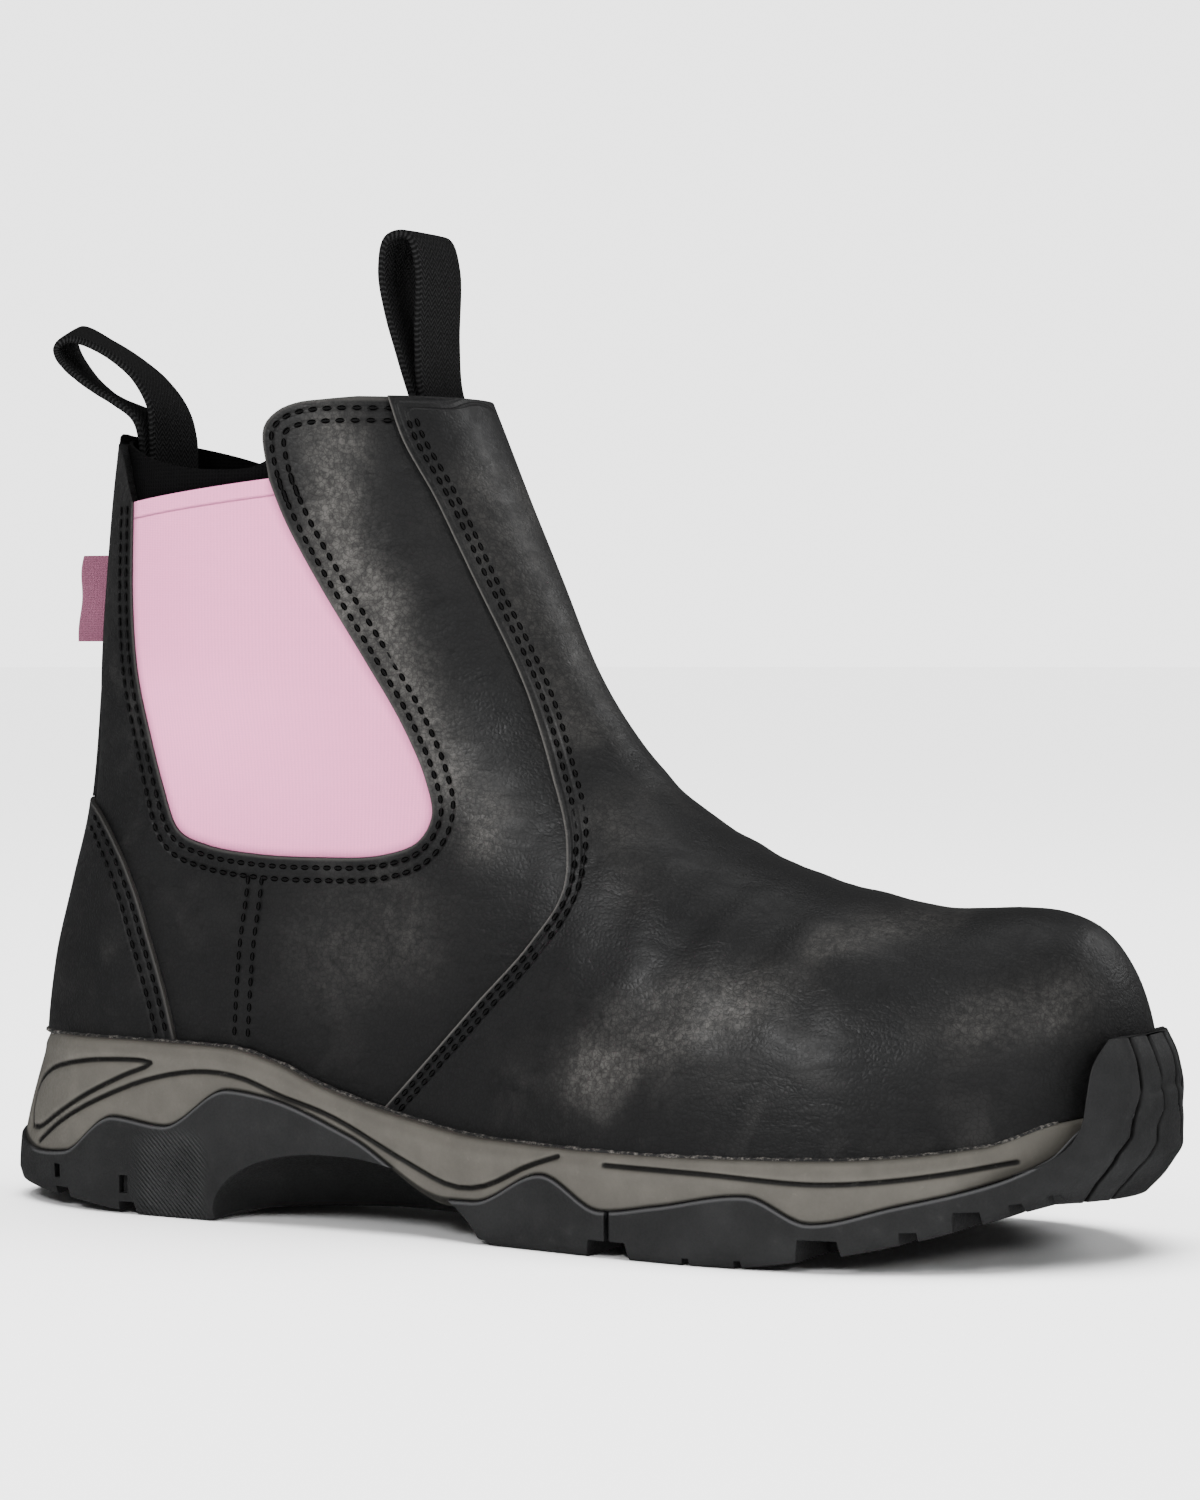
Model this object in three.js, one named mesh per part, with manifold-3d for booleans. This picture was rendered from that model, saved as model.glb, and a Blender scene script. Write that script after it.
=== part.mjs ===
// A right pull-on work boot with elastic side gores, standing empty on its sole.
// Millimetres. +X points to the toe, +Y to the inner side of the foot, +Z up.

import * as THREE from "three";
import { mergeVertices } from "three/addons/utils/BufferGeometryUtils.js";
import Module from "manifold-3d";

const wasm = await Module();
wasm.setup();

// Driving dimensions of the whole boot
const soleLength = 286;
const heelFlare = 6;
const soleWidth = 103;
const rimHeight = 41;
const toeHeight = 74;
const collarHeight = 190;
const heelFormWidth = 63;
const ballFormWidth = 94;
const shaftWidth = 73;

// Walls and plies
const leatherWall = 2.4;
const overlayPly = 1.2;
const elasticPly = 1.8;
const gorePocket = 0.4;
const clearance = 0.3;
const ledgeGap = 0.5;

// Sole
const outsoleWall = 2.4;
const outsoleFloor = 6;
const outsoleProud = 0.9;
const soleBevel = 1.2;
const archScoopHeight = 17.5;
const archScoopReach = 36;
const lugDepth = 4;
const sideLugReach = 19;
const slitWidth = 1.2;
const bumperHeight = 49;
const bumperPly = 3.4;
const rimBevel = 0.5;
const cupDepth = 6;
const insoleThickness = 5;
const coreCover = 1;
const coreDraft = 0.2;
const sideFoot = 2.5;
const sideLedge = 1.5;
const topBevel = 0.7;
const topBevelInset = 0.6;
const treadWidth = 5;
const slitDepth = 3;
const scoopOffset = 4;

// Webbing loops and heel tab
const webbingWidth = 20;
const webbingPly = 1.9;
const backStripWidth = 18;
const tabReach = 12;
const tabHeight = 21;
const tabPly = 2.2;
const tabMiddle = 145;
const collarRise = 2.2;

// Cutting outlines reach this far past what they cut
const outreach = 10;
const sideReach = 90;

// Fineness of the curved faces
const formStations = 25;
const formRows = 13;
const soleStations = 2 * formStations;
const seamSteps = 2;
const rimSteps = 24;
const profileSteps = 400;
const fineSteps = 2000;
const scoopSegments = [22, 12];

// Side view of the upper. Places are shares of the sole's length and of the collar's height.
const backProfile = [
  { up: 0.1, along: 0.014 },
  { up: 0.21, along: 0.0165 },
  { up: 0.3, along: 0.024 },
  { up: 0.4, along: 0.041 },
  { up: 0.5, along: 0.058 },
  { up: 0.63, along: 0.069 },
  { up: 0.76, along: 0.076 },
  { up: 0.88, along: 0.083 },
  { up: 0.965, along: 0.09 },
];
const toeFootShare = 0.9795;
const toeProfile = [
  { along: 0.979, up: 0.49 },
  { along: 0.978, up: 0.59 },
  { along: 0.974, up: 0.69 },
  { along: 0.966, up: 0.79 },
  { along: 0.954, up: 0.88 },
  { along: 0.937, up: 0.955 },
  { along: 0.913, up: 0.995 },
  { along: 0.884, up: 1.005 },
  { along: 0.852, up: 1 },
  { along: 0.822, up: 0.998 },
  { along: 0.79, up: 1.016 },
  { along: 0.755, up: 1.047 },
];
const instepProfile = [
  { along: 0.721, up: 0.42 },
  { along: 0.687, up: 0.439 },
  { along: 0.653, up: 0.462 },
  { along: 0.619, up: 0.492 },
  { along: 0.584, up: 0.532 },
  { along: 0.55, up: 0.59 },
  { along: 0.515, up: 0.667 },
  { along: 0.479, up: 0.777 },
  { along: 0.443, up: 0.888 },
  { along: 0.409, up: 1 },
];

// Plan of the upper above the sole. Along is a share of the upper's own length there,
// and half is a share of half the heel's or the ball's width of the form.
const formHalfWidth = [
  { along: 0, half: 0.62 },
  { along: 0.12, half: 0.665 },
  { along: 0.25, half: 0.69 },
  { along: 0.38, half: 0.66 },
  { along: 0.5, half: 0.75 },
  { along: 0.62, half: 0.93 },
  { along: 0.7, half: 1 },
  { along: 0.78, half: 1.01 },
  { along: 0.86, half: 0.96 },
  { along: 1, half: 0.9 },
];
const formMiddle = [
  { along: 0, side: 0 },
  { along: 0.2, side: -0.01 },
  { along: 0.42, side: -0.075 },
  { along: 0.6, side: -0.04 },
  { along: 0.75, side: 0 },
  { along: 0.88, side: 0.07 },
  { along: 1, side: 0.15 },
];
const heelNoseShare = 0.13;
const toeNoseShare = 0.2;
const shaftHalfWidth = [
  { up: 0.2, half: 0.86 },
  { up: 0.4, half: 0.86 },
  { up: 0.58, half: 0.93 },
  { up: 0.74, half: 1 },
  { up: 0.9, half: 1.02 },
  { up: 1, half: 1 },
];
const shaftBlendShare = [0.42, 0.68];
const eggShare = 0.22;

// Sole seen from the side. Along is a share of its length, up a share of the rim's height.
const rimLine = [
  { along: 0, up: 0.985 },
  { along: 0.13, up: 1 },
  { along: 0.25, up: 0.985 },
  { along: 0.295, up: 0.92 },
  { along: 0.34, up: 0.8 },
  { along: 0.41, up: 0.67 },
  { along: 0.5, up: 0.575 },
  { along: 0.6, up: 0.56 },
  { along: 0.8, up: 0.585 },
  { along: 0.9, up: 0.655 },
  { along: 0.945, up: 0.77 },
  { along: 1, up: 0.83 },
];
const outsoleLine = [
  { along: 0, up: 0.41 },
  { along: 0.05, up: 0.31 },
  { along: 0.085, up: 0.33 },
  { along: 0.14, up: 0.555 },
  { along: 0.19, up: 0.52 },
  { along: 0.255, up: 0.75 },
  { along: 0.29, up: 0.725 },
  { along: 0.37, up: 0.54 },
  { along: 0.465, up: 0.232 },
  { along: 0.49, up: 0.235 },
  { along: 0.555, up: 0.415 },
  { along: 0.61, up: 0.25 },
  { along: 0.66, up: 0.3 },
  { along: 0.735, up: 0.385 },
  { along: 0.785, up: 0.26 },
  { along: 0.845, up: 0.355 },
  { along: 0.91, up: 0.475 },
  { along: 0.945, up: 0.6 },
  { along: 0.965, up: 0.76 },
  { along: 1, up: 0.83 },
];
const groundLine = [
  { along: 0, up: 0.13 },
  { along: 0.03, up: 0.1 },
  { along: 0.09, up: 0.06 },
  { along: 0.16, up: 0.006 },
  { along: 0.175, up: 0 },
  { along: 0.235, up: 0 },
  { along: 0.25, up: 0.045 },
  { along: 0.48, up: 0.045 },
  { along: 0.515, up: 0 },
  { along: 0.71, up: 0 },
  { along: 0.79, up: 0.07 },
  { along: 0.86, up: 0.175 },
  { along: 0.92, up: 0.3 },
  { along: 0.965, up: 0.4 },
  { along: 1, up: 0.62 },
];
const soleOuterHalf = [
  { along: 0, half: 0.62 },
  { along: 0.13, half: 0.69 },
  { along: 0.25, half: 0.735 },
  { along: 0.38, half: 0.77 },
  { along: 0.5, half: 0.85 },
  { along: 0.62, half: 0.96 },
  { along: 0.7, half: 1 },
  { along: 0.78, half: 0.98 },
  { along: 0.86, half: 0.88 },
  { along: 1, half: 0.78 },
];
const soleInnerHalf = [
  { along: 0, half: 0.62 },
  { along: 0.13, half: 0.69 },
  { along: 0.25, half: 0.68 },
  { along: 0.38, half: 0.64 },
  { along: 0.5, half: 0.72 },
  { along: 0.62, half: 0.89 },
  { along: 0.7, half: 0.975 },
  { along: 0.78, half: 1.015 },
  { along: 0.86, half: 1.04 },
  { along: 1, half: 1.02 },
];
const soleTipSide = 0.12;

// Bottom cuts of the outsole, as shares of the sole's length
const lugChannels = [
  { from: 0.075, to: 0.095, depth: 0.5 },
  { from: 0.145, to: 0.162, depth: 0.6 },
  { from: 0.594, to: 0.631, depth: 1 },
  { from: 0.77, to: 0.803, depth: 1 },
  { from: 0.878, to: 0.896, depth: 0.9 },
];
const sideSlits = [
  { along: 0.613, foot: 0.09, top: 0.26 },
  { along: 0.682, foot: -0.05, top: 0.05 },
  { along: 0.724, foot: -0.05, top: 0.06 },
];
const treadBars = [0.545, 0.585, 0.66, 0.7, 0.745, 0.835, 0.92];
const bumperSection = [
  { up: 0.28, inset: 0.6 },
  { up: 0.5, inset: -0.15 },
  { up: 0.72, inset: -0.22 },
  { up: 0.88, inset: 0.15 },
  { up: 1.02, inset: 1.05 },
];
const bumperRear = [
  { along: 0.949, up: 0.62 },
  { along: 0.951, up: 0.75 },
  { along: 0.956, up: 0.9 },
  { along: 0.965, up: 1 },
];

// Seams and openings of the upper in side view, as shares of length and collar height
const goreOutline = [
  [0.149, 0.878],
  [0.151, 0.76],
  [0.161, 0.63],
  [0.176, 0.53],
  [0.192, 0.475],
  [0.222, 0.457],
  [0.27, 0.448],
  [0.33, 0.446],
  [0.385, 0.45],
  [0.419, 0.468],
  [0.43, 0.5],
  [0.423, 0.54],
  [0.402, 0.605],
  [0.369, 0.69],
  [0.333, 0.78],
  [0.306, 0.855],
  [0.293, 0.902],
];
const wingTop = [
  [0.287, 0.965],
  [0.3, 0.988],
  [0.325, 1.002],
];
const stripTop = [
  [0.13, 0.972],
  [0.141, 0.955],
];
const vampSeam = [
  [0.378, 1.003],
  [0.392, 0.95],
  [0.417, 0.88],
  [0.449, 0.78],
  [0.488, 0.66],
  [0.522, 0.55],
  [0.547, 0.47],
  [0.551, 0.41],
  [0.53, 0.355],
  [0.483, 0.28],
  [0.437, 0.21],
  [0.4, 0.155],
  [0.35, 0.08],
];
const counterSeam = [
  [0.06, 0.51],
  [0.095, 0.495],
  [0.13, 0.45],
  [0.152, 0.4],
  [0.167, 0.345],
  [0.185, 0.27],
  [0.205, 0.16],
];

// Loop centre lines in side view, from the collar's end. Along is a share of the sole's length,
// up a share of the collar's height. Turn and drop tell how far the webbing's inner edge lies
// behind and below its middle, as shares of its half width.
const frontLoopLine = [
  { along: 0.0058, up: -0.095, turn: 0, drop: 0 },
  { along: -0.0077, up: -0.0526, turn: 0, drop: 0 },
  { along: -0.021, up: -0.0158, turn: 0, drop: 0 },
  { along: -0.0294, up: 0.0184, turn: 0, drop: 0 },
  { along: -0.0322, up: 0.079, turn: 0, drop: 0 },
  { along: -0.0318, up: 0.168, turn: 0, drop: 0 },
  { along: -0.041, up: 0.2047, turn: 0, drop: 0 },
  { along: -0.06, up: 0.2016, turn: 0, drop: 0 },
  { along: -0.0657, up: 0.163, turn: 0, drop: 0 },
  { along: -0.06, up: 0.113, turn: 0, drop: 0 },
  { along: -0.0497, up: 0.063, turn: 0, drop: 0 },
  { along: -0.041, up: 0.0237, turn: 0, drop: 0 },
  { along: -0.0315, up: -0.0132, turn: 0, drop: 0 },
  { along: -0.0175, up: -0.0526, turn: 0, drop: 0 },
  { along: -0.0038, up: -0.095, turn: 0, drop: 0 },
];
const backLoopLine = [
  { along: 0.0324, up: -0.07, turn: 0, drop: 0 },
  { along: 0.032, up: 0, turn: 0, drop: 0 },
  { along: 0.0275, up: 0.0376, turn: 0.08, drop: 0.04 },
  { along: 0.0107, up: 0.0745, turn: 0.12, drop: 0.06 },
  { along: -0.0138, up: 0.1034, turn: 0.14, drop: 0.04 },
  { along: -0.0428, up: 0.1266, turn: 0.25, drop: -0.06 },
  { along: -0.0673, up: 0.139, turn: 0.4, drop: -0.22 },
  { along: -0.0767, up: 0.131, turn: 0.42, drop: -0.22 },
  { along: -0.0743, up: 0.114, turn: 0.35, drop: -0.08 },
  { along: -0.062, up: 0.09, turn: 0.2, drop: 0.12 },
  { along: -0.0463, up: 0.071, turn: 0.1, drop: 0.2 },
  { along: -0.027, up: 0.055, turn: 0.05, drop: 0.18 },
  { along: -0.0043, up: 0.0403, turn: 0, drop: 0.12 },
  { along: 0.0142, up: 0.0245, turn: 0, drop: 0.04 },
  { along: 0.021, up: 0.001, turn: 0, drop: 0 },
  { along: 0.0213, up: -0.07, turn: 0, drop: 0 },
];

// Colours
const leatherColour = 0x2c2a29;
const elasticColour = 0xe0b9cc;
const tabColour = 0xc95f8e;
const midsoleColour = 0x625b50;
const rubberColour = 0x313437;
const webbingColour = 0x1c1c1e;
const insoleColour = 0x26262a;

// Smooth curve through the rows of a table, with no overshoot between them
function tableCurve(rows, at, value) {
  const xs = rows.map((row) => row[at]);
  const ys = rows.map((row) => row[value]);
  const slopes = xs.slice(1).map((x, i) => (ys[i + 1] - ys[i]) / (x - xs[i]));
  const tangents = ys.map((_, i) => {
    if (i === 0) return slopes[0];
    if (i === ys.length - 1) return slopes[i - 1];
    if (slopes[i - 1] * slopes[i] <= 0) return 0;
    return (2 * slopes[i - 1] * slopes[i]) / (slopes[i - 1] + slopes[i]);
  });
  return (x) => {
    if (x <= xs[0]) return ys[0] + tangents[0] * (x - xs[0]);
    const last = xs.length - 1;
    if (x >= xs[last]) return ys[last] + tangents[last] * (x - xs[last]);
    let i = 0;
    while (x > xs[i + 1]) i += 1;
    const step = xs[i + 1] - xs[i];
    const s = (x - xs[i]) / step;
    const rise = (3 - 2 * s) * s * s;
    const start = s * (1 - s) * (1 - s) * step * tangents[i];
    const end = s * s * (s - 1) * step * tangents[i + 1];
    return ys[i] + (ys[i + 1] - ys[i]) * rise + start + end;
  };
}

function clamp01(value) {
  return Math.min(Math.max(value, 0), 1);
}

function smoothStep(from, to, value) {
  const s = clamp01((value - from) / (to - from));
  return s * s * (3 - 2 * s);
}

function mix(a, b, share) {
  return a + (b - a) * share;
}

// Rounds off the first stretch of a plan as an ellipse's quarter
function nose(distance, length) {
  const s = clamp01(distance / length);
  return Math.sqrt(s * (2 - s));
}

// Side lines of the sole as functions of x
function soleLine(rows) {
  const share = tableCurve(rows, "along", "up");
  return (x) => share(x / soleLength) * rimHeight;
}
const rimAt = soleLine(rimLine);
const outsoleTopAt = soleLine(outsoleLine);
const groundAt = soleLine(groundLine);
const cupFloorAt = (x) => rimAt(x) - cupDepth;

// Front profile of the upper, from the toe's foot over the instep to the collar
const toeTip = toeFootShare * soleLength;
const frontRows = [
  { x: toeTip, z: cupFloorAt(toeTip) + clearance },
  ...toeProfile.map((row) => ({ x: row.along * soleLength, z: row.up * toeHeight })),
  ...instepProfile.map((row) => ({ x: row.along * soleLength, z: row.up * collarHeight })),
];
const frontPath = new THREE.CatmullRomCurve3(
  frontRows.map((row) => new THREE.Vector3(row.x, 0, row.z)),
  false,
  "centripetal",
);
frontPath.arcLengthDivisions = 1.5 * profileSteps;
const frontSamples = frontPath.getSpacedPoints(profileSteps);

function interpolate(samples, at, value, x) {
  let low = 0;
  let high = samples.length - 1;
  const rising = samples[high][at] > samples[low][at];
  while (high - low > 1) {
    const middle = (low + high) >> 1;
    if (samples[middle][at] < x === rising) low = middle;
    else high = middle;
  }
  const a = samples[low];
  const b = samples[high];
  return a[value] + ((b[value] - a[value]) * (x - a[at])) / (b[at] - a[at]);
}

const shaftSamples = frontSamples.filter((point) => point.x < toeProfile.at(-1).along * soleLength);
const crestHeight = (x) => interpolate(frontSamples, "x", "z", x);
const shaftFront = (z) => interpolate(shaftSamples, "z", "x", z);
const backShare = tableCurve(backProfile, "up", "along");
const shaftBack = (z) => backShare(z / collarHeight) * soleLength;

// Half width of the upper's outer face at a place of its side view
const formHalfAt = tableCurve(formHalfWidth, "along", "half");
const formMiddleAt = tableCurve(formMiddle, "along", "side");
const shaftHalfAt = tableCurve(shaftHalfWidth, "up", "half");
const crossPower = 2.3;
const shaftRoundPower = 0.47;
const heelPlace = 0.2;
const ballPlace = 0.7;
const widthBlend = [0.25, 0.65];
const leastCrest = 1;
const eggFade = [0.6, 1];
const middleFade = [0.3, 0.8];

function footHalf(x, z) {
  const back = shaftBack(z);
  const length = toeTip - back;
  const t = clamp01((x - back) / length);
  const ball = formHalfAt(ballPlace);
  const heelHalf = ((heelFormWidth / 2) * ball) / formHalfAt(heelPlace);
  const half = mix(heelHalf, ballFormWidth / 2, smoothStep(...widthBlend, t));
  const width = (half * formHalfAt(t)) / ball;
  const plan = width * nose(t, heelNoseShare) * nose(1 - t, toeNoseShare);
  const foot = cupFloorAt(x) - clearance;
  const crest = Math.max(crestHeight(x), foot + leastCrest);
  const h = clamp01((z - foot) / (crest - foot));
  return plan * Math.sqrt(Math.max(1 - h ** crossPower, 0));
}

function shaftHalf(x, z) {
  const back = shaftBack(z);
  const front = shaftFront(z);
  const t = clamp01((x - back) / (front - back));
  const half = (shaftHalfAt(z / collarHeight) * shaftWidth) / 2;
  const egg = 1 + eggShare * (1 - smoothStep(...eggFade, z / collarHeight)) * (1 - 2 * t);
  return half * (4 * t * (1 - t)) ** shaftRoundPower * egg;
}

function formHalf(x, z) {
  const share = smoothStep(...shaftBlendShare, z / collarHeight);
  if (share === 0) return footHalf(x, z);
  if (share === 1) return shaftHalf(x, z);
  return mix(footHalf(x, z), shaftHalf(x, z), share);
}

function formMiddleY(x, z) {
  const along = clamp01(x / toeTip);
  const fade = 1 - smoothStep(...middleFade, z / collarHeight);
  return (formMiddleAt(along) * soleWidth * fade) / 2;
}

// Plan of the sole
const outerHalfAt = tableCurve(soleOuterHalf, "along", "half");
const innerHalfAt = tableCurve(soleInnerHalf, "along", "half");
const soleHeelNoseShare = 0.125;
const soleToeNoseShare = 0.2;
const tipBlend = [0.5, 1];
const turnWeight = 55;
const flareFade = [0, 0.1];

function soleEdge(t, side) {
  const table = side < 0 ? outerHalfAt(t) : innerHalfAt(t);
  const half = (table * soleWidth) / 2;
  const round = nose(t, soleHeelNoseShare) * nose(1 - t, soleToeNoseShare);
  const tip = (soleTipSide * soleWidth) / 2;
  const middle = tip * (1 - round) * smoothStep(...tipBlend, t);
  return new THREE.Vector2(t * soleLength, side * half * round + middle);
}

// Stations along the sole, closer together where its outline turns
function makeStations(count) {
  const points = [];
  for (let i = 0; i <= fineSteps; i += 1) {
    points.push(soleEdge((1 - Math.cos((Math.PI * i) / fineSteps)) / 2, -1));
  }
  const total = [0];
  for (let i = 1; i <= fineSteps; i += 1) {
    const before = points[Math.max(i - 2, 0)];
    const a = points[i - 1];
    const b = points[i];
    const turn = i > 1 ? Math.abs(angleBetween(before, a, b)) : 0;
    total.push(total[i - 1] + a.distanceTo(b) + turnWeight * turn);
  }
  const stations = [0];
  let i = 0;
  for (let j = 1; j < count; j += 1) {
    const wanted = (total[fineSteps] * j) / count;
    while (total[i + 1] < wanted) i += 1;
    const share = (wanted - total[i]) / (total[i + 1] - total[i]);
    stations.push(mix(points[i].x, points[i + 1].x, share) / soleLength);
  }
  stations.push(1);
  return stations;
}

function angleBetween(a, b, c) {
  const first = Math.atan2(b.y - a.y, b.x - a.x);
  const second = Math.atan2(c.y - b.y, c.x - b.x);
  return Math.atan2(Math.sin(second - first), Math.cos(second - first));
}

const stationShares = makeStations(soleStations);
const formShares = stationShares.filter((_, i) => i % 2 === 0);

// The heel's back leans forward from the ground to the rim
function flareAt(x, z) {
  return heelFlare * (1 - smoothStep(...flareFade, x / soleLength)) * clamp01(1 - z / rimHeight);
}

// Closed ring of the sole's plan, moved inwards by a distance at each point
function soleRing(insetAt, heightAt) {
  const edge = [];
  for (let i = 0; i <= soleStations; i += 1) edge.push(soleEdge(stationShares[i], -1));
  for (let i = soleStations - 1; i > 0; i -= 1) edge.push(soleEdge(stationShares[i], 1));
  return edge.map((point, i) => {
    const before = edge.at(i - 1);
    const after = edge[(i + 1) % edge.length];
    const along = after.clone().sub(before).normalize();
    const inset = insetAt(point.x);
    const x = point.x - along.y * inset;
    const y = point.y + along.x * inset;
    const z = heightAt(x);
    return new THREE.Vector3(x - flareAt(x, z), y, z);
  });
}

// Rows of the upper's outer face, from its foot in the sole's cup to the collar
const collarBack = new THREE.Vector2(backProfile.at(-1).along * soleLength, backProfile.at(-1).up * collarHeight);
const frontRowPower = 1.3;
const backRowShare = 0.55;

function rowPoint(t, v) {
  const footBack = cupFloorAt(0) + clearance;
  const backUp = mix(footBack, collarBack.y, v * mix(backRowShare, 1, v));
  const front = frontPath.getPointAt(v ** frontRowPower);
  const line = mix(backUp, front.z, t);
  const back = shaftBack(backUp);
  const x = mix(back, front.x, t);
  const footX = mix(shaftBack(footBack), toeTip, t);
  const footLine = mix(footBack, frontRows[0].z, t);
  const sag = (cupFloorAt(footX) + clearance - footLine) * (1 - v) ** 2;
  const arch = collarRise * 4 * t * (1 - t) * v ** 4;
  return new THREE.Vector2(x, line + sag + arch);
}

function makeFormRows() {
  const rows = [];
  for (let r = 0; r <= formRows; r += 1) {
    const lateral = formShares.map((t) => {
      const place = rowPoint(t, r / formRows);
      const half = t === 0 || t === 1 ? 0 : formHalf(place.x, place.y);
      return { x: place.x, z: place.y, middle: formMiddleY(place.x, place.y), half };
    });
    const medial = lateral.slice(1, -1).reverse();
    rows.push([
      ...lateral.map((p) => new THREE.Vector3(p.x, p.middle - p.half, p.z)),
      ...medial.map((p) => new THREE.Vector3(p.x, p.middle + p.half, p.z)),
    ]);
  }
  return rows;
}

const formGrid = makeFormRows();
const formSkin = loftRings(formGrid, "open");
formSkin.computeVertexNormals();

function offsetRows(distance) {
  const normal = new THREE.Vector3();
  return formGrid.map((row, r) =>
    row.map((point, k) => {
      normal.fromBufferAttribute(formSkin.attributes.normal, r * row.length + k);
      return point.clone().addScaledVector(normal, distance);
    }),
  );
}

// Triangles between two closed rings
function addBand(indices, size, lowRing, highRing, flipped) {
  const low = lowRing * size;
  const high = highRing * size;
  for (let k = 0; k < size; k += 1) {
    const next = (k + 1) % size;
    const first = [low + k, low + next, high + next];
    const second = [low + k, high + next, high + k];
    indices.push(...(flipped ? first.reverse() : first));
    indices.push(...(flipped ? second.reverse() : second));
  }
}

// Skin between closed rings, with its ends capped or left open. Its quads are split along one
// diagonal or the other, so that two faces lying close together can be split alike.
function loftRings(rings, ends, slant = "forward") {
  const size = rings[0].length;
  const half = size / 2;
  const positions = rings.flat().flatMap((point) => [point.x, point.y, point.z]);
  const indices = [];
  for (let r = 0; r < rings.length - 1; r += 1) {
    if (slant === "forward") addBand(indices, size, r, r + 1, false);
    else addBand(indices, size, r + 1, r, true);
  }
  if (ends === "capped") {
    const top = (rings.length - 1) * size;
    for (let k = 0; k < half; k += 1) {
      const far = (size - k) % size;
      const farNext = size - k - 1;
      const quad = [k, k + 1, farNext, far];
      addCap(indices, quad, 0, true);
      addCap(indices, quad, top, false);
    }
  }
  return makeGeometry(positions, indices);
}

function addCap(indices, quad, base, flipped) {
  const [a, b, c, d] = quad.map((index) => base + index);
  const triangles = [];
  if (b !== c) triangles.push([a, b, c]);
  if (a !== d) triangles.push([a, c, d]);
  for (const [p, q, r] of triangles) indices.push(...(flipped ? [p, r, q] : [p, q, r]));
}

function makeGeometry(positions, indices) {
  const geometry = new THREE.BufferGeometry();
  geometry.setAttribute("position", new THREE.Float32BufferAttribute(positions, 3));
  geometry.setIndex(indices);
  return geometry;
}

// Closed solids for joining and cutting
function toSolid(geometry) {
  const bare = geometry.clone();
  bare.deleteAttribute("normal");
  bare.deleteAttribute("uv");
  const merged = mergeVertices(bare, 1e-4);
  const mesh = new wasm.Mesh({
    numProp: 3,
    vertProperties: new Float32Array(merged.attributes.position.array),
    triVerts: new Uint32Array(merged.index.array),
  });
  return new wasm.Manifold(mesh);
}

function toGeometry(solid) {
  const mesh = solid.getMesh();
  return makeGeometry(Array.from(mesh.vertProperties), Array.from(mesh.triVerts));
}

// Wall between two faces of the upper's form, with rims at its foot and collar
function formShell(inner, outer) {
  const outerFace = offsetRows(outer);
  const innerFace = offsetRows(inner);
  const rings = [...outerFace, ...innerFace];
  const size = rings[0].length;
  const positions = rings.flat().flatMap((point) => [point.x, point.y, point.z]);
  const indices = [];
  for (let r = 0; r < formRows; r += 1) {
    addBand(indices, size, r, r + 1, false);
    addBand(indices, size, formRows + 1 + r, formRows + 2 + r, true);
  }
  addBand(indices, size, formRows + 1, 0, false);
  addBand(indices, size, formRows, 2 * formRows + 1, false);
  return toSolid(makeGeometry(positions, indices));
}

function formBody(distance) {
  return toSolid(loftRings(offsetRows(distance), "capped"));
}

// Prism whose outline is drawn in the side view
function sidePrism(outline, from = -sideReach, to = sideReach) {
  const shape = new THREE.Shape(outline.map((point) => new THREE.Vector2(point.x, point.y)));
  const geometry = new THREE.ExtrudeGeometry(shape, { depth: to - from, bevelEnabled: false });
  geometry.rotateX(Math.PI / 2);
  geometry.translate(0, to, 0);
  return toSolid(geometry);
}

function boxBetween(low, high) {
  const geometry = new THREE.BoxGeometry(high.x - low.x, high.y - low.y, high.z - low.z);
  geometry.translate((low.x + high.x) / 2, (low.y + high.y) / 2, (low.z + high.z) / 2);
  return toSolid(geometry);
}

// Places of the upper's side view
function upperPoints(shares) {
  return shares.map(([along, up]) => new THREE.Vector2(along * soleLength, up * collarHeight));
}

function smoothPoints(points, perSpan) {
  return new THREE.SplineCurve(points).getPoints((points.length - 1) * perSpan);
}

// Outline drawn anticlockwise, moved inwards
function insetOutline(points, distance) {
  return points.map((point, i) => {
    const before = points.at(i - 1);
    const after = points[(i + 1) % points.length];
    const first = point.clone().sub(before).normalize();
    const second = after.clone().sub(point).normalize();
    const normal = new THREE.Vector2(-first.y - second.y, first.x + second.x).normalize();
    const spread = Math.max(Math.abs(-first.y * normal.x + first.x * normal.y), 0.5);
    return point.clone().addScaledVector(normal, distance / spread);
  });
}

const aboveBoot = 1.3 * collarHeight;
const goreEdge = smoothPoints(upperPoints(goreOutline), seamSteps);

// The upper is one hollow wall, open at the collar and underneath, with a window for each gore
function makeUpper() {
  const strip = upperPoints(stripTop);
  const wing = upperPoints(wingTop);
  const window = [
    new THREE.Vector2(strip[0].x, aboveBoot),
    ...strip,
    ...goreEdge,
    ...wing,
    new THREE.Vector2(wing.at(-1).x, aboveBoot),
  ];
  return toGeometry(formShell(-leatherWall, 0).subtract(sidePrism(window)));
}

function makeGore(side) {
  const panel = insetOutline(goreEdge, clearance);
  const reach = side < 0 ? [-sideReach, -1] : [1, sideReach];
  const shell = formShell(-gorePocket - elasticPly, -gorePocket);
  return toGeometry(shell.intersect(sidePrism(panel, ...reach)));
}

// Overlays end just above the sole's rim
function rimPoints(fromX, toX) {
  const points = [];
  for (let i = 0; i <= rimSteps; i += 1) {
    const x = mix(fromX, toX, i / rimSteps);
    points.push(new THREE.Vector2(x, rimAt(x) + ledgeGap));
  }
  return points;
}

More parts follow.
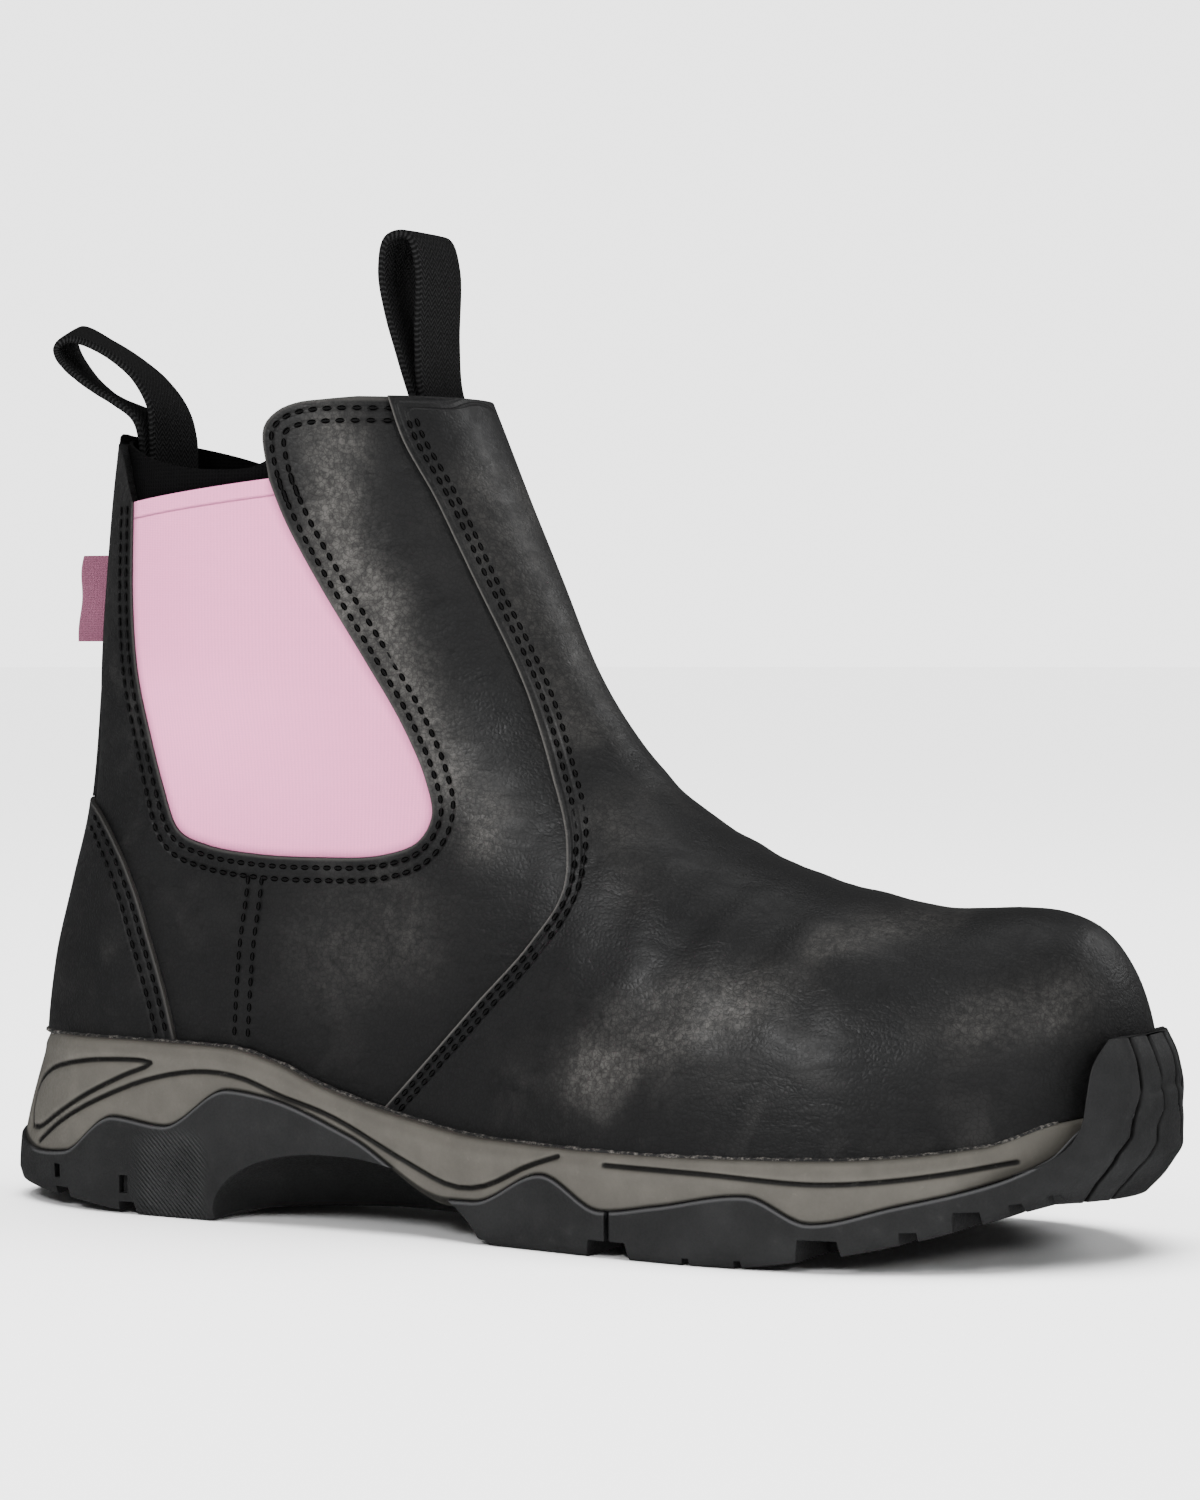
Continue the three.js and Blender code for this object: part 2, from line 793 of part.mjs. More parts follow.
// Part of a seam above the rim, down to the point where it meets the rim
function seamAboveRim(shares) {
  const seam = smoothPoints(upperPoints(shares), seamSteps);
  const above = (point) => point.y - rimAt(point.x) - ledgeGap;
  const foot = seam.findIndex((point) => above(point) < 0);
  const last = seam[foot - 1];
  const share = above(last) / (above(last) - above(seam[foot]));
  return [...seam.slice(0, foot), last.clone().lerp(seam[foot], share)];
}

function overlayShell() {
  return formShell(clearance, clearance + overlayPly);
}

function makeVamp() {
  const cut = seamAboveRim(vampSeam);
  const front = soleLength + outreach;
  const rim = rimPoints(cut.at(-1).x, front).slice(1);
  const region = [...cut, ...rim, new THREE.Vector2(front, aboveBoot)];
  region.push(new THREE.Vector2(cut[0].x, aboveBoot));
  return toGeometry(overlayShell().intersect(sidePrism(region)));
}

function makeHeelCounter() {
  const cut = seamAboveRim(counterSeam).reverse();
  const rim = rimPoints(-outreach, cut[0].x).slice(0, -1);
  const region = [...rim, ...cut, new THREE.Vector2(-outreach, cut.at(-1).y)];
  return toGeometry(overlayShell().intersect(sidePrism(region)));
}

const stripFoot = counterSeam[0][1] * collarHeight + clearance;
const stripReachShare = 0.2;

function makeBackStrip() {
  const half = backStripWidth / 2;
  const low = new THREE.Vector3(-outreach, -half, stripFoot);
  const high = new THREE.Vector3(soleLength * stripReachShare, half, aboveBoot);
  return toGeometry(overlayShell().intersect(boxBetween(low, high)));
}

// Sole
const overlap = 0.1;
const coreInset = outsoleProud + outsoleWall;
const archRise = [0.19, 0.25];
const archFall = [0.44, 0.5];
const toeBevelGrowth = 3;
const toeBevelBlend = [0.9, 1];
const sideBevelShare = 0.3;

function outsoleCore(x) {
  const share = x / soleLength;
  const arch = smoothStep(...archRise, share) * (1 - smoothStep(...archFall, share));
  const top = outsoleTopAt(x) - coreCover;
  return mix(Math.min(groundAt(x) + outsoleFloor, top), top, arch);
}

function makeOutsoleBody() {
  const growth = (x) => toeBevelGrowth * smoothStep(...toeBevelBlend, x / soleLength);
  const toeBevel = (x) => soleBevel * (1 + growth(x));
  const lowSide = (x) => Math.min(groundAt(x) + sideFoot, outsoleTopAt(x) - sideLedge);
  const rings = [
    soleRing(toeBevel, groundAt),
    soleRing((x) => toeBevel(x) * sideBevelShare, lowSide),
    soleRing(() => 0, (x) => outsoleTopAt(x) - topBevel),
    soleRing(() => topBevelInset, outsoleTopAt),
    soleRing(() => coreInset, outsoleTopAt),
    soleRing(() => coreInset + coreDraft, outsoleCore),
  ];
  return toSolid(loftRings(rings, "capped", "backward"));
}

// Hollow under the arch, deeper towards the heel's front edge
const scoopHalfShare = 0.128;
const scoopPlace = 0.367;
const scoopLean = 0.25;

function makeArchScoop(side) {
  const geometry = new THREE.SphereGeometry(1, ...scoopSegments);
  geometry.scale(scoopHalfShare * soleLength, archScoopReach, archScoopHeight);
  const shear = new THREE.Matrix4().makeShear(0, -scoopLean, 0, 0, 0, 0);
  geometry.applyMatrix4(shear);
  const edge = soleEdge(scoopPlace, side).y;
  geometry.translate(scoopPlace * soleLength, edge + side * scoopOffset, 0);
  return toSolid(geometry);
}

const lugDraft = 0.35;

function makeLugCuts() {
  const cuts = [];
  const belowGround = -outreach / 2;
  for (const side of [-1, 1]) {
    for (const channel of lugChannels) {
      const middle = (channel.from + channel.to) / 2;
      const edge = soleEdge(middle, side).y;
      const inner = edge - side * sideLugReach;
      const outer = edge + side * sideLugReach;
      const depth = channel.depth * lugDepth;
      const top = groundAt(middle * soleLength) + depth;
      const slope = depth * lugDraft;
      const outline = [
        new THREE.Vector2(channel.from * soleLength - slope, belowGround),
        new THREE.Vector2(channel.to * soleLength + slope, belowGround),
        new THREE.Vector2(channel.to * soleLength - slope, top),
        new THREE.Vector2(channel.from * soleLength + slope, top),
      ];
      cuts.push(sidePrism(outline, Math.min(inner, outer), Math.max(inner, outer)));
    }
    for (const slit of sideSlits) {
      const edge = soleEdge(slit.along, side).y;
      const inner = edge - side * slitDepth;
      const outer = edge + side * outreach;
      const x = slit.along * soleLength;
      const low = new THREE.Vector3(x - slitWidth / 2, Math.min(inner, outer), slit.foot * rimHeight);
      const high = new THREE.Vector3(x + slitWidth / 2, Math.max(inner, outer), slit.top * rimHeight);
      cuts.push(boxBetween(low, high));
    }
  }
  return cuts;
}

// Zigzag tread between the side lugs, cut as slanting channels that follow the ground line
const treadTurn = 0.3;
const treadSink = 0.1;

function makeTreadCuts() {
  const cuts = [];
  for (const [i, along] of treadBars.entries()) {
    const outer = soleEdge(along, -1).y + sideLugReach;
    const inner = soleEdge(along, 1).y - sideLugReach;
    const x = along * soleLength;
    const reach = (inner - outer) / 2;
    const slope = (groundAt(x + treadWidth) - groundAt(x - treadWidth)) / (2 * treadWidth);
    const geometry = new THREE.BoxGeometry(treadWidth, 2 * reach, 2 * lugDepth);
    geometry.rotateZ(i % 2 === 0 ? treadTurn : -treadTurn);
    geometry.rotateY(-Math.atan(slope));
    geometry.translate(x, (outer + inner) / 2, groundAt(x) - lugDepth * treadSink);
    cuts.push(toSolid(geometry));
  }
  return cuts;
}

function makeToeBumper() {
  const rings = bumperSection.map((row) =>
    soleRing(() => row.inset * bumperPly, () => row.up * bumperHeight),
  );
  const blank = toSolid(loftRings(rings, "capped"));
  const rear = bumperRear.map((row) => new THREE.Vector2(row.along * soleLength, row.up * bumperHeight));
  const front = soleLength + outreach;
  const region = [
    ...smoothPoints(rear, seamSteps).reverse(),
    new THREE.Vector2(front, bumperRear[0].up * bumperHeight),
    new THREE.Vector2(front, bumperHeight),
  ];
  const covered = clearance + overlayPly + clearance;
  const blocked = formBody(covered).add(midsoleEnvelope());
  return blank.intersect(sidePrism(region)).subtract(blocked);
}

function makeOutsole() {
  const cuts = [makeArchScoop(-1), makeArchScoop(1), ...makeLugCuts(), ...makeTreadCuts()];
  let solid = makeOutsoleBody().add(makeToeBumper());
  for (const cut of cuts) solid = solid.subtract(cut);
  return toGeometry(solid);
}

// The midsole fills the outsole, and its cup holds the upper's foot
const toeWrap = [0.88, 0.935];

function midsoleSideInset(x) {
  return mix(outsoleProud, coreInset + clearance, smoothStep(...toeWrap, x / soleLength));
}

function ringAtHeight(distance, heightAt) {
  const [foot, next] = offsetRows(distance);
  return foot.map((point, k) => {
    const share = (heightAt(point.x) - point.z) / (next[k].z - point.z);
    return point.clone().lerp(next[k], share);
  });
}

function cupRing(heightAt) {
  const corners = ringAtHeight(clearance, heightAt);
  return corners.flatMap((point, k) => {
    const after = corners[(k + 1) % corners.length];
    return [point, point.clone().lerp(after, 0.5)];
  });
}

function midsoleOuterRings(grow) {
  const coreTop = (x) => Math.min(outsoleTopAt(x) + ledgeGap, rimAt(x) - 2 * rimBevel);
  const side = (x) => midsoleSideInset(x) - grow;
  const core = () => coreInset + clearance - grow;
  return [
    soleRing(core, (x) => outsoleCore(x) + clearance - grow),
    soleRing(core, (x) => coreTop(x) - grow),
    soleRing(side, (x) => coreTop(x) - grow),
    soleRing(side, (x) => rimAt(x) - rimBevel),
    soleRing((x) => side(x) + rimBevel, (x) => rimAt(x) + grow),
  ];
}

function midsoleEnvelope() {
  return toSolid(loftRings(midsoleOuterRings(clearance + overlap), "capped"));
}

function makeMidsole() {
  const rings = [
    ...midsoleOuterRings(0),
    cupRing(rimAt),
    cupRing(cupFloorAt),
  ];
  return toGeometry(toSolid(loftRings(rings, "capped")));
}

// The insole lies on the cup's floor inside the upper's wall
function makeInsole() {
  const inside = -leatherWall - clearance;
  const low = ringAtHeight(inside, (x) => cupFloorAt(x) + ledgeGap);
  const high = ringAtHeight(inside, (x) => cupFloorAt(x) + ledgeGap + insoleThickness);
  return loftRings([low, high], "capped");
}

// Webbing bent along a line in the side view
function makeWebbing(line, anchor) {
  const half = webbingWidth / 2;
  const middle = new THREE.CatmullRomCurve3(
    line.map(
      (row) => new THREE.Vector3(anchor.x + row.along * soleLength, 0, anchor.y + row.up * collarHeight),
    ),
  );
  const edge = new THREE.CatmullRomCurve3(
    line.map((row) => new THREE.Vector3(-row.turn * half, half, -row.drop * half)),
  );
  const steps = 2 * (line.length - 1);
  const rings = [];
  for (let i = 0; i <= steps; i += 1) {
    const centre = middle.getPoint(i / steps);
    const across = edge.getPoint(i / steps);
    const thick = middle.getTangent(i / steps).cross(across).setLength(webbingPly / 2);
    rings.push([
      centre.clone().sub(across).sub(thick),
      centre.clone().add(across).sub(thick),
      centre.clone().add(across).add(thick),
      centre.clone().sub(across).add(thick),
    ]);
  }
  return loftRings(rings, "capped");
}

function makeFrontLoop() {
  const anchor = new THREE.Vector2(instepProfile.at(-1).along * soleLength, collarHeight);
  return makeWebbing(frontLoopLine, anchor);
}

function makeBackLoop() {
  return makeWebbing(backLoopLine, collarBack);
}

// Folded cloth tab standing out from the back strip
function makeHeelTab() {
  const reach = clearance + overlayPly + clearance;
  const low = tabMiddle - tabHeight / 2;
  const high = tabMiddle + tabHeight / 2;
  const outline = [
    new THREE.Vector2(shaftBack(low) - reach - tabReach, low),
    new THREE.Vector2(shaftBack(low) - reach, low),
    new THREE.Vector2(shaftBack(high) - reach, high),
    new THREE.Vector2(shaftBack(high) - reach - tabReach, high),
  ];
  return toGeometry(sidePrism(outline, -tabPly / 2, tabPly / 2));
}

// Materials
function material(colour, roughness) {
  return new THREE.MeshStandardMaterial({ color: colour, roughness, metalness: 0 });
}

// Assembly, with the origin under the middle of the sole
const boot = new THREE.Group();
const outsoleGeometry = makeOutsole();
outsoleGeometry.computeBoundingBox();
const soleMiddle = outsoleGeometry.boundingBox.getCenter(new THREE.Vector3());

function addPiece(name, geometry, surface) {
  const mesh = new THREE.Mesh(geometry, surface);
  mesh.name = name;
  mesh.position.set(-soleMiddle.x, -soleMiddle.y, 0);
  boot.add(mesh);
}

addPiece("outsole", outsoleGeometry, material(rubberColour, 0.75));
addPiece("midsole", makeMidsole(), material(midsoleColour, 0.8));
addPiece("insole", makeInsole(), material(insoleColour, 0.9));
addPiece("upper", makeUpper(), material(leatherColour, 0.55));
addPiece("vamp_overlay", makeVamp(), material(leatherColour, 0.5));
addPiece("heel_counter", makeHeelCounter(), material(leatherColour, 0.5));
addPiece("back_strip", makeBackStrip(), material(leatherColour, 0.55));
addPiece("gore_outer", makeGore(-1), material(elasticColour, 0.9));
addPiece("gore_inner", makeGore(1), material(elasticColour, 0.9));
addPiece("pull_loop_front", makeFrontLoop(), material(webbingColour, 0.9));
addPiece("pull_loop_back", makeBackLoop(), material(webbingColour, 0.9));
addPiece("heel_tab", makeHeelTab(), material(tabColour, 0.85));

export default boot;
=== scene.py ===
"""Dressed model of a right pull-on work boot, laid out as an add-on and run as a script."""

import math

import bpy
import numpy as np
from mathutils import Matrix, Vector
from mathutils.kdtree import KDTree


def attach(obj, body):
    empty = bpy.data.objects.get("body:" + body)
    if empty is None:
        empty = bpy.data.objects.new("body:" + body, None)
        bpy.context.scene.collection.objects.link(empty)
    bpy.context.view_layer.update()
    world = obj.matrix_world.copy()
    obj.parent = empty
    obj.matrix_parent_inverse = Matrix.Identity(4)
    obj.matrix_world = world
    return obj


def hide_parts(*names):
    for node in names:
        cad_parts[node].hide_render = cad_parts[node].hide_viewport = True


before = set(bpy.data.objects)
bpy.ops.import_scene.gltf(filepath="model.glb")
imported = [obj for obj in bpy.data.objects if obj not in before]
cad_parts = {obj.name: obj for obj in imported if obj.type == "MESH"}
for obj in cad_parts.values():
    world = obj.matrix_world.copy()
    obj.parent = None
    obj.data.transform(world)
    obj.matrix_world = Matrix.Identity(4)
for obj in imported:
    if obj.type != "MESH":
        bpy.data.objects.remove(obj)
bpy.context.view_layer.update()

bl_info = {
    "name": "Pull-on work boot",
    "version": (1, 0, 0),
    "blender": (4, 5, 0),
    "location": "View3D > Sidebar > Boot",
    "description": "Builds a leather pull-on boot with elastic gores around its packed solids",
    "category": "Object",
}

# Driving sizes in millimetres, as the solids have them
SOLE_LENGTH = 286
HEEL_FLARE = 6
SOLE_WIDTH = 103
RIM_HEIGHT = 41
TOE_HEIGHT = 74
COLLAR_HEIGHT = 190
HEEL_FORM_WIDTH = 63
BALL_FORM_WIDTH = 94
SHAFT_WIDTH = 73
LEATHER_WALL = 2.4
CUP_DEPTH = 6
CLEARANCE = 0.3
BUMPER_HEIGHT = 49
BUMPER_PLY = 3.4
WEBBING_WIDTH = 20
SOLE_MIDDLE = np.array([141.124, 0.686, 0.0])
NEAR, FAR = -1, 1

# How far cutters reach past the boot
SIDE_REACH = 90
OPEN_TOP = 1.3 * COLLAR_HEIGHT
CUT_FOOT, CUT_REACH = -5, 8

# Plies of the upper: lifts of the inner and the outer face from the upper's own outer face
UPPER_FACES = (-LEATHER_WALL, 0.0)
OVERLAY_FACES = (0.05, 1.45)
COUNTER_FACES = (0.05, 1.4)
GORE_FACES = (-2.2, -0.45)
LINING_FACES = (-3.3, -2.5)
STRIP_HALF_WIDTH = 9
STRIP_REACH = 0.2 * SOLE_LENGTH
PLY_FOOT_LIFT = 0.1
LINING_FOOT = 42
WEBBING_PLY = 1.8

# Side view of the upper, as shares of the sole's length and of the toe's or the collar's height
BACK_PROFILE = [
    (0.1, 0.014), (0.21, 0.0165), (0.3, 0.024), (0.4, 0.041), (0.5, 0.058),
    (0.63, 0.069), (0.76, 0.076), (0.88, 0.083), (0.965, 0.09),
]
TOE_FOOT = 0.9795
TOE_PROFILE = [
    (0.979, 0.49), (0.978, 0.59), (0.974, 0.69), (0.966, 0.79), (0.954, 0.88), (0.937, 0.955),
    (0.913, 0.995), (0.884, 1.005), (0.852, 1), (0.822, 0.998), (0.79, 1.016), (0.755, 1.047),
]
INSTEP_PROFILE = [
    (0.721, 0.42), (0.687, 0.439), (0.653, 0.462), (0.619, 0.492), (0.584, 0.532),
    (0.55, 0.59), (0.515, 0.667), (0.479, 0.777), (0.443, 0.888), (0.409, 1),
]
FORM_HALF_WIDTH = [
    (0, 0.62), (0.12, 0.665), (0.25, 0.69), (0.38, 0.66), (0.5, 0.75),
    (0.62, 0.93), (0.7, 1), (0.78, 1.01), (0.86, 0.96), (1, 0.9),
]
FORM_MIDDLE = [(0, 0), (0.2, -0.01), (0.42, -0.075), (0.6, -0.04), (0.75, 0), (0.88, 0.07), (1, 0.15)]
SHAFT_HALF_WIDTH = [(0.2, 0.86), (0.4, 0.86), (0.58, 0.93), (0.74, 1), (0.9, 1.02), (1, 1)]
HEEL_NOSE = 0.13
TOE_NOSE = 0.2
WIDTH_BLEND = (0.25, 0.65)
HEEL_STATION, BALL_STATION = 0.2, 0.7
SHAFT_BLEND = (0.42, 0.68)
SHAFT_ROUNDNESS = 0.47
EGG_SHAPE = 0.22
EGG_FADE = (0.6, 1)
MIDDLE_FADE = (0.3, 0.8)
CROSS_POWER = 2.3
COLLAR_ARCH = 2.2

# Sole, as shares of its length and of the rim's height or of half its width
RIM_LINE = [
    (0, 0.985), (0.13, 1), (0.25, 0.985), (0.295, 0.92), (0.34, 0.8), (0.41, 0.67),
    (0.5, 0.575), (0.6, 0.56), (0.8, 0.585), (0.9, 0.655), (0.945, 0.77), (1, 0.83),
]
OUTSOLE_LINE = [
    (0, 0.41), (0.05, 0.31), (0.085, 0.33), (0.14, 0.555), (0.19, 0.52), (0.255, 0.75),
    (0.29, 0.725), (0.37, 0.54), (0.465, 0.232), (0.49, 0.235), (0.555, 0.415), (0.61, 0.25),
    (0.66, 0.3), (0.735, 0.385), (0.785, 0.26), (0.845, 0.355), (0.91, 0.475), (0.945, 0.6),
    (0.965, 0.76), (1, 0.83),
]
GROUND_LINE = [
    (0, 0.13), (0.03, 0.1), (0.09, 0.06), (0.16, 0.006), (0.175, 0), (0.235, 0), (0.25, 0.045),
    (0.48, 0.045), (0.515, 0), (0.71, 0), (0.79, 0.07), (0.86, 0.175), (0.92, 0.3),
    (0.965, 0.4), (1, 0.62),
]
SOLE_OUTER_HALF = [
    (0, 0.62), (0.13, 0.69), (0.25, 0.735), (0.38, 0.77), (0.5, 0.85),
    (0.62, 0.96), (0.7, 1), (0.78, 0.98), (0.86, 0.88), (1, 0.78),
]
SOLE_INNER_HALF = [
    (0, 0.62), (0.13, 0.69), (0.25, 0.68), (0.38, 0.64), (0.5, 0.72),
    (0.62, 0.89), (0.7, 0.975), (0.78, 1.015), (0.86, 1.04), (1, 1.02),
]
SOLE_TIP_SIDE = 0.12
SOLE_NOSES = (0.125, 0.2)
BUMPER_SECTION = [(0.28, 2.0), (0.38, 0.7), (0.5, -0.15), (0.72, -0.22), (0.88, 0.15), (1.02, 1.05)]
BUMPER_REAR = [
    (0.922, 0.435), (0.945, 0.49), (0.958, 0.56), (0.964, 0.64), (0.9665, 0.75), (0.968, 0.9),
    (0.9725, 1),
]
BUMPER_FOOT = 13.8
BUMPER_FORM_LIFT = 1.5
BUMPER_GROOVES = [
    [(-13.1, 49), (-13.1, 45.2), (-13.4, 37.5), (-16.2, 32), (-16.8, 28.2), (-20.8, 24.5), (-24, 18)],
    [(-5.5, 49), (-5.5, 44), (-4.6, 37), (-4.8, 33.5), (-7.6, 30), (-7.6, 26.5), (-13, 21), (-15, 17)],
]

# Seams and openings in side view, as shares of the sole's length and the collar's height
GORE_OUTLINE = [
    (0.149, 0.878), (0.151, 0.76), (0.161, 0.63), (0.176, 0.53), (0.192, 0.475), (0.222, 0.457),
    (0.27, 0.448), (0.33, 0.446), (0.385, 0.45), (0.419, 0.468), (0.43, 0.5), (0.423, 0.54),
    (0.402, 0.605), (0.369, 0.69), (0.333, 0.78), (0.306, 0.855), (0.293, 0.902),
]
WING_TOP = [(0.287, 0.965), (0.2975, 0.985), (0.3135, 0.9955), (0.335, 0.9998), (0.36, 1.004)]
STRIP_TOP = [(0.1, 0.958), (0.116, 0.952), (0.125, 0.941), (0.1335, 0.925), (0.14, 0.905)]
VAMP_SEAM = [
    (0.378, 1.003), (0.392, 0.95), (0.417, 0.88), (0.449, 0.78), (0.488, 0.66), (0.522, 0.55),
    (0.547, 0.47), (0.551, 0.41), (0.53, 0.355), (0.483, 0.28), (0.437, 0.21), (0.4, 0.155),
    (0.35, 0.08),
]
COUNTER_SEAM = [
    (0.06, 0.51), (0.095, 0.495), (0.13, 0.45), (0.152, 0.4), (0.167, 0.345), (0.185, 0.27),
    (0.205, 0.16),
]
SIDE_SEAM = [(0.27, 0.448), (0.2702, 0.416), (0.2633, 0.3305), (0.2584, 0.214)]

# Top of the lining's binding in side view, in millimetres
BINDING_TOP = [
    (30, 182.8), (38.5, 180.2), (46, 177.6), (56, 175.4), (68, 174.2), (78, 174.6), (83.5, 177),
]

# Webbing loops: along, up, turn and drop, as the solids have them
FRONT_LOOP = [
    (0.0058, -0.095, 0, 0), (-0.0077, -0.0526, 0, 0), (-0.021, -0.0158, 0, 0),
    (-0.0294, 0.0184, 0, 0), (-0.0322, 0.079, 0, 0), (-0.0318, 0.168, 0, 0),
    (-0.041, 0.2047, 0, 0), (-0.06, 0.2016, 0, 0), (-0.0657, 0.163, 0, 0), (-0.06, 0.113, 0, 0),
    (-0.0497, 0.063, 0, 0), (-0.041, 0.0237, 0, 0), (-0.0315, -0.0132, 0, 0),
    (-0.0175, -0.0526, 0, 0), (-0.0038, -0.095, 0, 0),
]
BACK_LOOP = [
    (0.0324, -0.07, 0, 0), (0.032, 0, 0, 0), (0.0275, 0.0376, 0.08, 0.04),
    (0.0107, 0.0745, 0.12, 0.06), (-0.0138, 0.1034, 0.14, 0.04), (-0.0428, 0.1266, 0.25, -0.06),
    (-0.0673, 0.139, 0.4, -0.22), (-0.0767, 0.131, 0.42, -0.22), (-0.0743, 0.114, 0.35, -0.08),
    (-0.062, 0.09, 0.2, 0.12), (-0.0463, 0.071, 0.1, 0.2), (-0.027, 0.055, 0.05, 0.18),
    (-0.0043, 0.0403, 0, 0.12), (0.0142, 0.0245, 0, 0.04), (0.021, 0.001, 0, 0),
    (0.0213, -0.07, 0, 0),
]

# Grooves moulded in the midsole's side, in millimetres from the heel and above the ground
LEAF_GROOVE = [
    (8.5, 17.5), (7.2, 22.5), (9.2, 28), (15.5, 31.8), (24, 34.2), (36.2, 36), (50.7, 35.9), (42, 32.3),
    (30.3, 27), (20, 21.8), (12.5, 18), (8.5, 17.5),
]
ARCH_GROOVE = [
    (12.5, 14.6), (21.2, 20), (36.1, 27), (50.6, 32.2), (64.9, 34.6), (76, 33.7),
    (86.9, 30.1), (100.4, 26.3), (120.3, 17.5), (134.3, 12.5), (142.7, 13.2), (153.9, 18.2),
    (164.8, 21.9),
]
FOREFOOT_GROOVE = [
    (175.4, 20.3), (200.2, 20), (222.2, 19), (232.4, 19.3), (242, 20.2), (251, 21.5),
    (259.7, 23), (264.5, 23.8),
]

FOAM_INSET = 0.9
FOAM_CORE_INSET = 3.6
FOAM_CUP_INSET = 7.5
FOAM_HEEL_LEAN = 3.4
FOAM_RIM = ((0.25, 0.3), (0.8, 0.05), (1.6, 0.0))
GROOVE_WIDTH = 0.6
NO_GROOVE = 9.0

# Outsole: notches as start, end, height and reach, slits as start, end, foot and top, and bars
LUG_NOTCHES = [
    (20.7, 26.0, 2.2, 16), (41.3, 46.5, 2.6, 16), (171, 181.6, 3.8, 19), (195, 197, 1.6, 12),
    (207.3, 209.3, 1.6, 12), (221.6, 231.3, 4.3, 19), (242.5, 246.5, 2.4, 12),
    (252.7, 258.6, 3.6, 17), (262.8, 265.6, 2.4, 12), (268.8, 271.2, 2.2, 11),
    (274.4, 276.6, 2.0, 10),
]
SIDE_SLITS = [(175.8, 177.2, 3, 10.5), (20.8, 22.8, 7, 10.3), (42.0, 44.4, 5, 9.2)]
SLIT_DEPTH = 2.2
TREAD_BARS = [148, 158, 168, 188, 200, 212, 238, 250, 263]
HEEL_BARS = [8, 17, 33, 55]
TREAD_MARGIN, HEEL_MARGIN = 17, 6
BAR_LEAN, BAR_DEPTH = 5, 3
BAR_HALF_WIDTHS = (1.7, 1.4)
ARCH_CENTRE = (0.367 * SOLE_LENGTH, 4, 0)
ARCH_RADII = (0.128 * SOLE_LENGTH, 36, 17.5)
ARCH_EDGE, ARCH_LEAN = 0.36, 0.25

# Folds of the leather on both sides: points in the side view, depth and width in millimetres
CREASES = [
    ([(168, 96), (163, 86), (160, 74)], 0.55, 5.0),
    ([(178, 90), (172, 78), (171, 66)], 0.5, 4.5),
    ([(196, 84), (188, 70), (187, 58)], 0.6, 5.5),
    ([(210, 78), (203, 64), (203, 52)], 0.45, 5.0),
    ([(222, 70), (217, 60), (221, 48)], 0.3, 4.0),
    ([(118, 150), (124, 132), (133, 118)], 0.4, 5.0),
    ([(96, 176), (104, 156), (114, 140)], 0.35, 5.0),
    ([(60, 78), (82, 72), (104, 76), (122, 88)], 0.45, 6.0),
    ([(66, 62), (90, 56), (112, 60)], 0.3, 5.0),
    ([(232, 60), (248, 54), (262, 46)], 0.25, 5.0),
]

# Rubbed patches of the leather, which also carry painted highlight: points in the side view, reach in
# millimetres and strength
RUBBED_HIGHLIGHTS = [
    ([(98, 180), (98.8, 168), (101, 155), (106, 143)], 6.5, 1.0),
    ([(106, 143), (112.8, 130.4), (123.8, 108), (137, 92)], 6, 0.8),
    ([(169, 40), (181, 47), (192, 53), (206, 55)], 8, 0.62),
    ([(186, 52), (200, 57)], 7, 0.3),
    ([(218, 69), (230, 72), (240, 73.5)], 3.5, 0.6),
    ([(254, 53), (262, 55), (267, 56)], 6.5, 0.5),
    ([(98, 62), (116, 68)], 12, 0.3),
    ([(163, 95), (174, 81)], 6, 0.22),
    ([(126, 170), (140, 138), (152, 115)], 5, 0.35),
]
FOLD_END = 9

# Heel tab: foot, top, depth and corner in millimetres
TAB_FOOT, TAB_TOP = 134.5, 155.5
TAB_ROWS = 22
TAB_DEPTH = 11.6
TAB_GAP = 1.7
TAB_CORNER = (1.1, 1.25)

# Stitches: lifts from the upper's face, half width of a thread and of a dent's disc of painted shade
UPPER_STITCH_LIFT, VAMP_STITCH_LIFT, COUNTER_STITCH_LIFT = 0.1, 1.52, 1.47
STITCH_SECTIONS = ((0.0, 0.25), (0.12, 0.8), (0.5, 1.0), (0.88, 0.8), (1.0, 0.25))
SEAM_GAUGE = 1.9
THREAD_GIRTH = 0.29
DENT_WIDTH = 0.62

# Fixed tones of the surfaces, with painted shade for stitch holes and the bumper's grooves and painted
# highlight for the outsole's lip and hatch
PORE_TONE = (0.004, 0.004, 0.004)
THREAD_SHADE = (0.006, 0.006, 0.006)
HOLE_SHADE_TONE = (0.0015, 0.0015, 0.0015)
GROOVE_SHADE_TONE = (0.001, 0.001, 0.001)
DUST_TONE = (0.05, 0.049, 0.047)
LIP_HIGHLIGHT_TONE = (0.06, 0.06, 0.062)
HATCH_HIGHLIGHT_TONE = (0.07, 0.07, 0.072)
FOOTBED_TONE = (0.02, 0.02, 0.022)
GLUE_TONE, GLUE_DARK, GLUE_PALE = (0.05, 0.046, 0.041), (0.014, 0.014, 0.014), (0.2, 0.185, 0.165)

# Lamps: name, place from the target in metres, size in metres and power in watts
LAMPS = (
    ("key", (-0.1, -1.4, 1.0), 0.55, 19),
    ("front", (1.5, -0.9, 0.75), 0.5, 5.5),
    ("top", (0.1, 0.35, 1.9), 1.3, 10),
    ("back", (1.0, 1.3, 1.0), 0.9, 9),
    ("left", (-1.7, 0.5, 0.7), 0.8, 0.8),
)
FLOOR_RADII = (300, 30000)
ROUND = 96


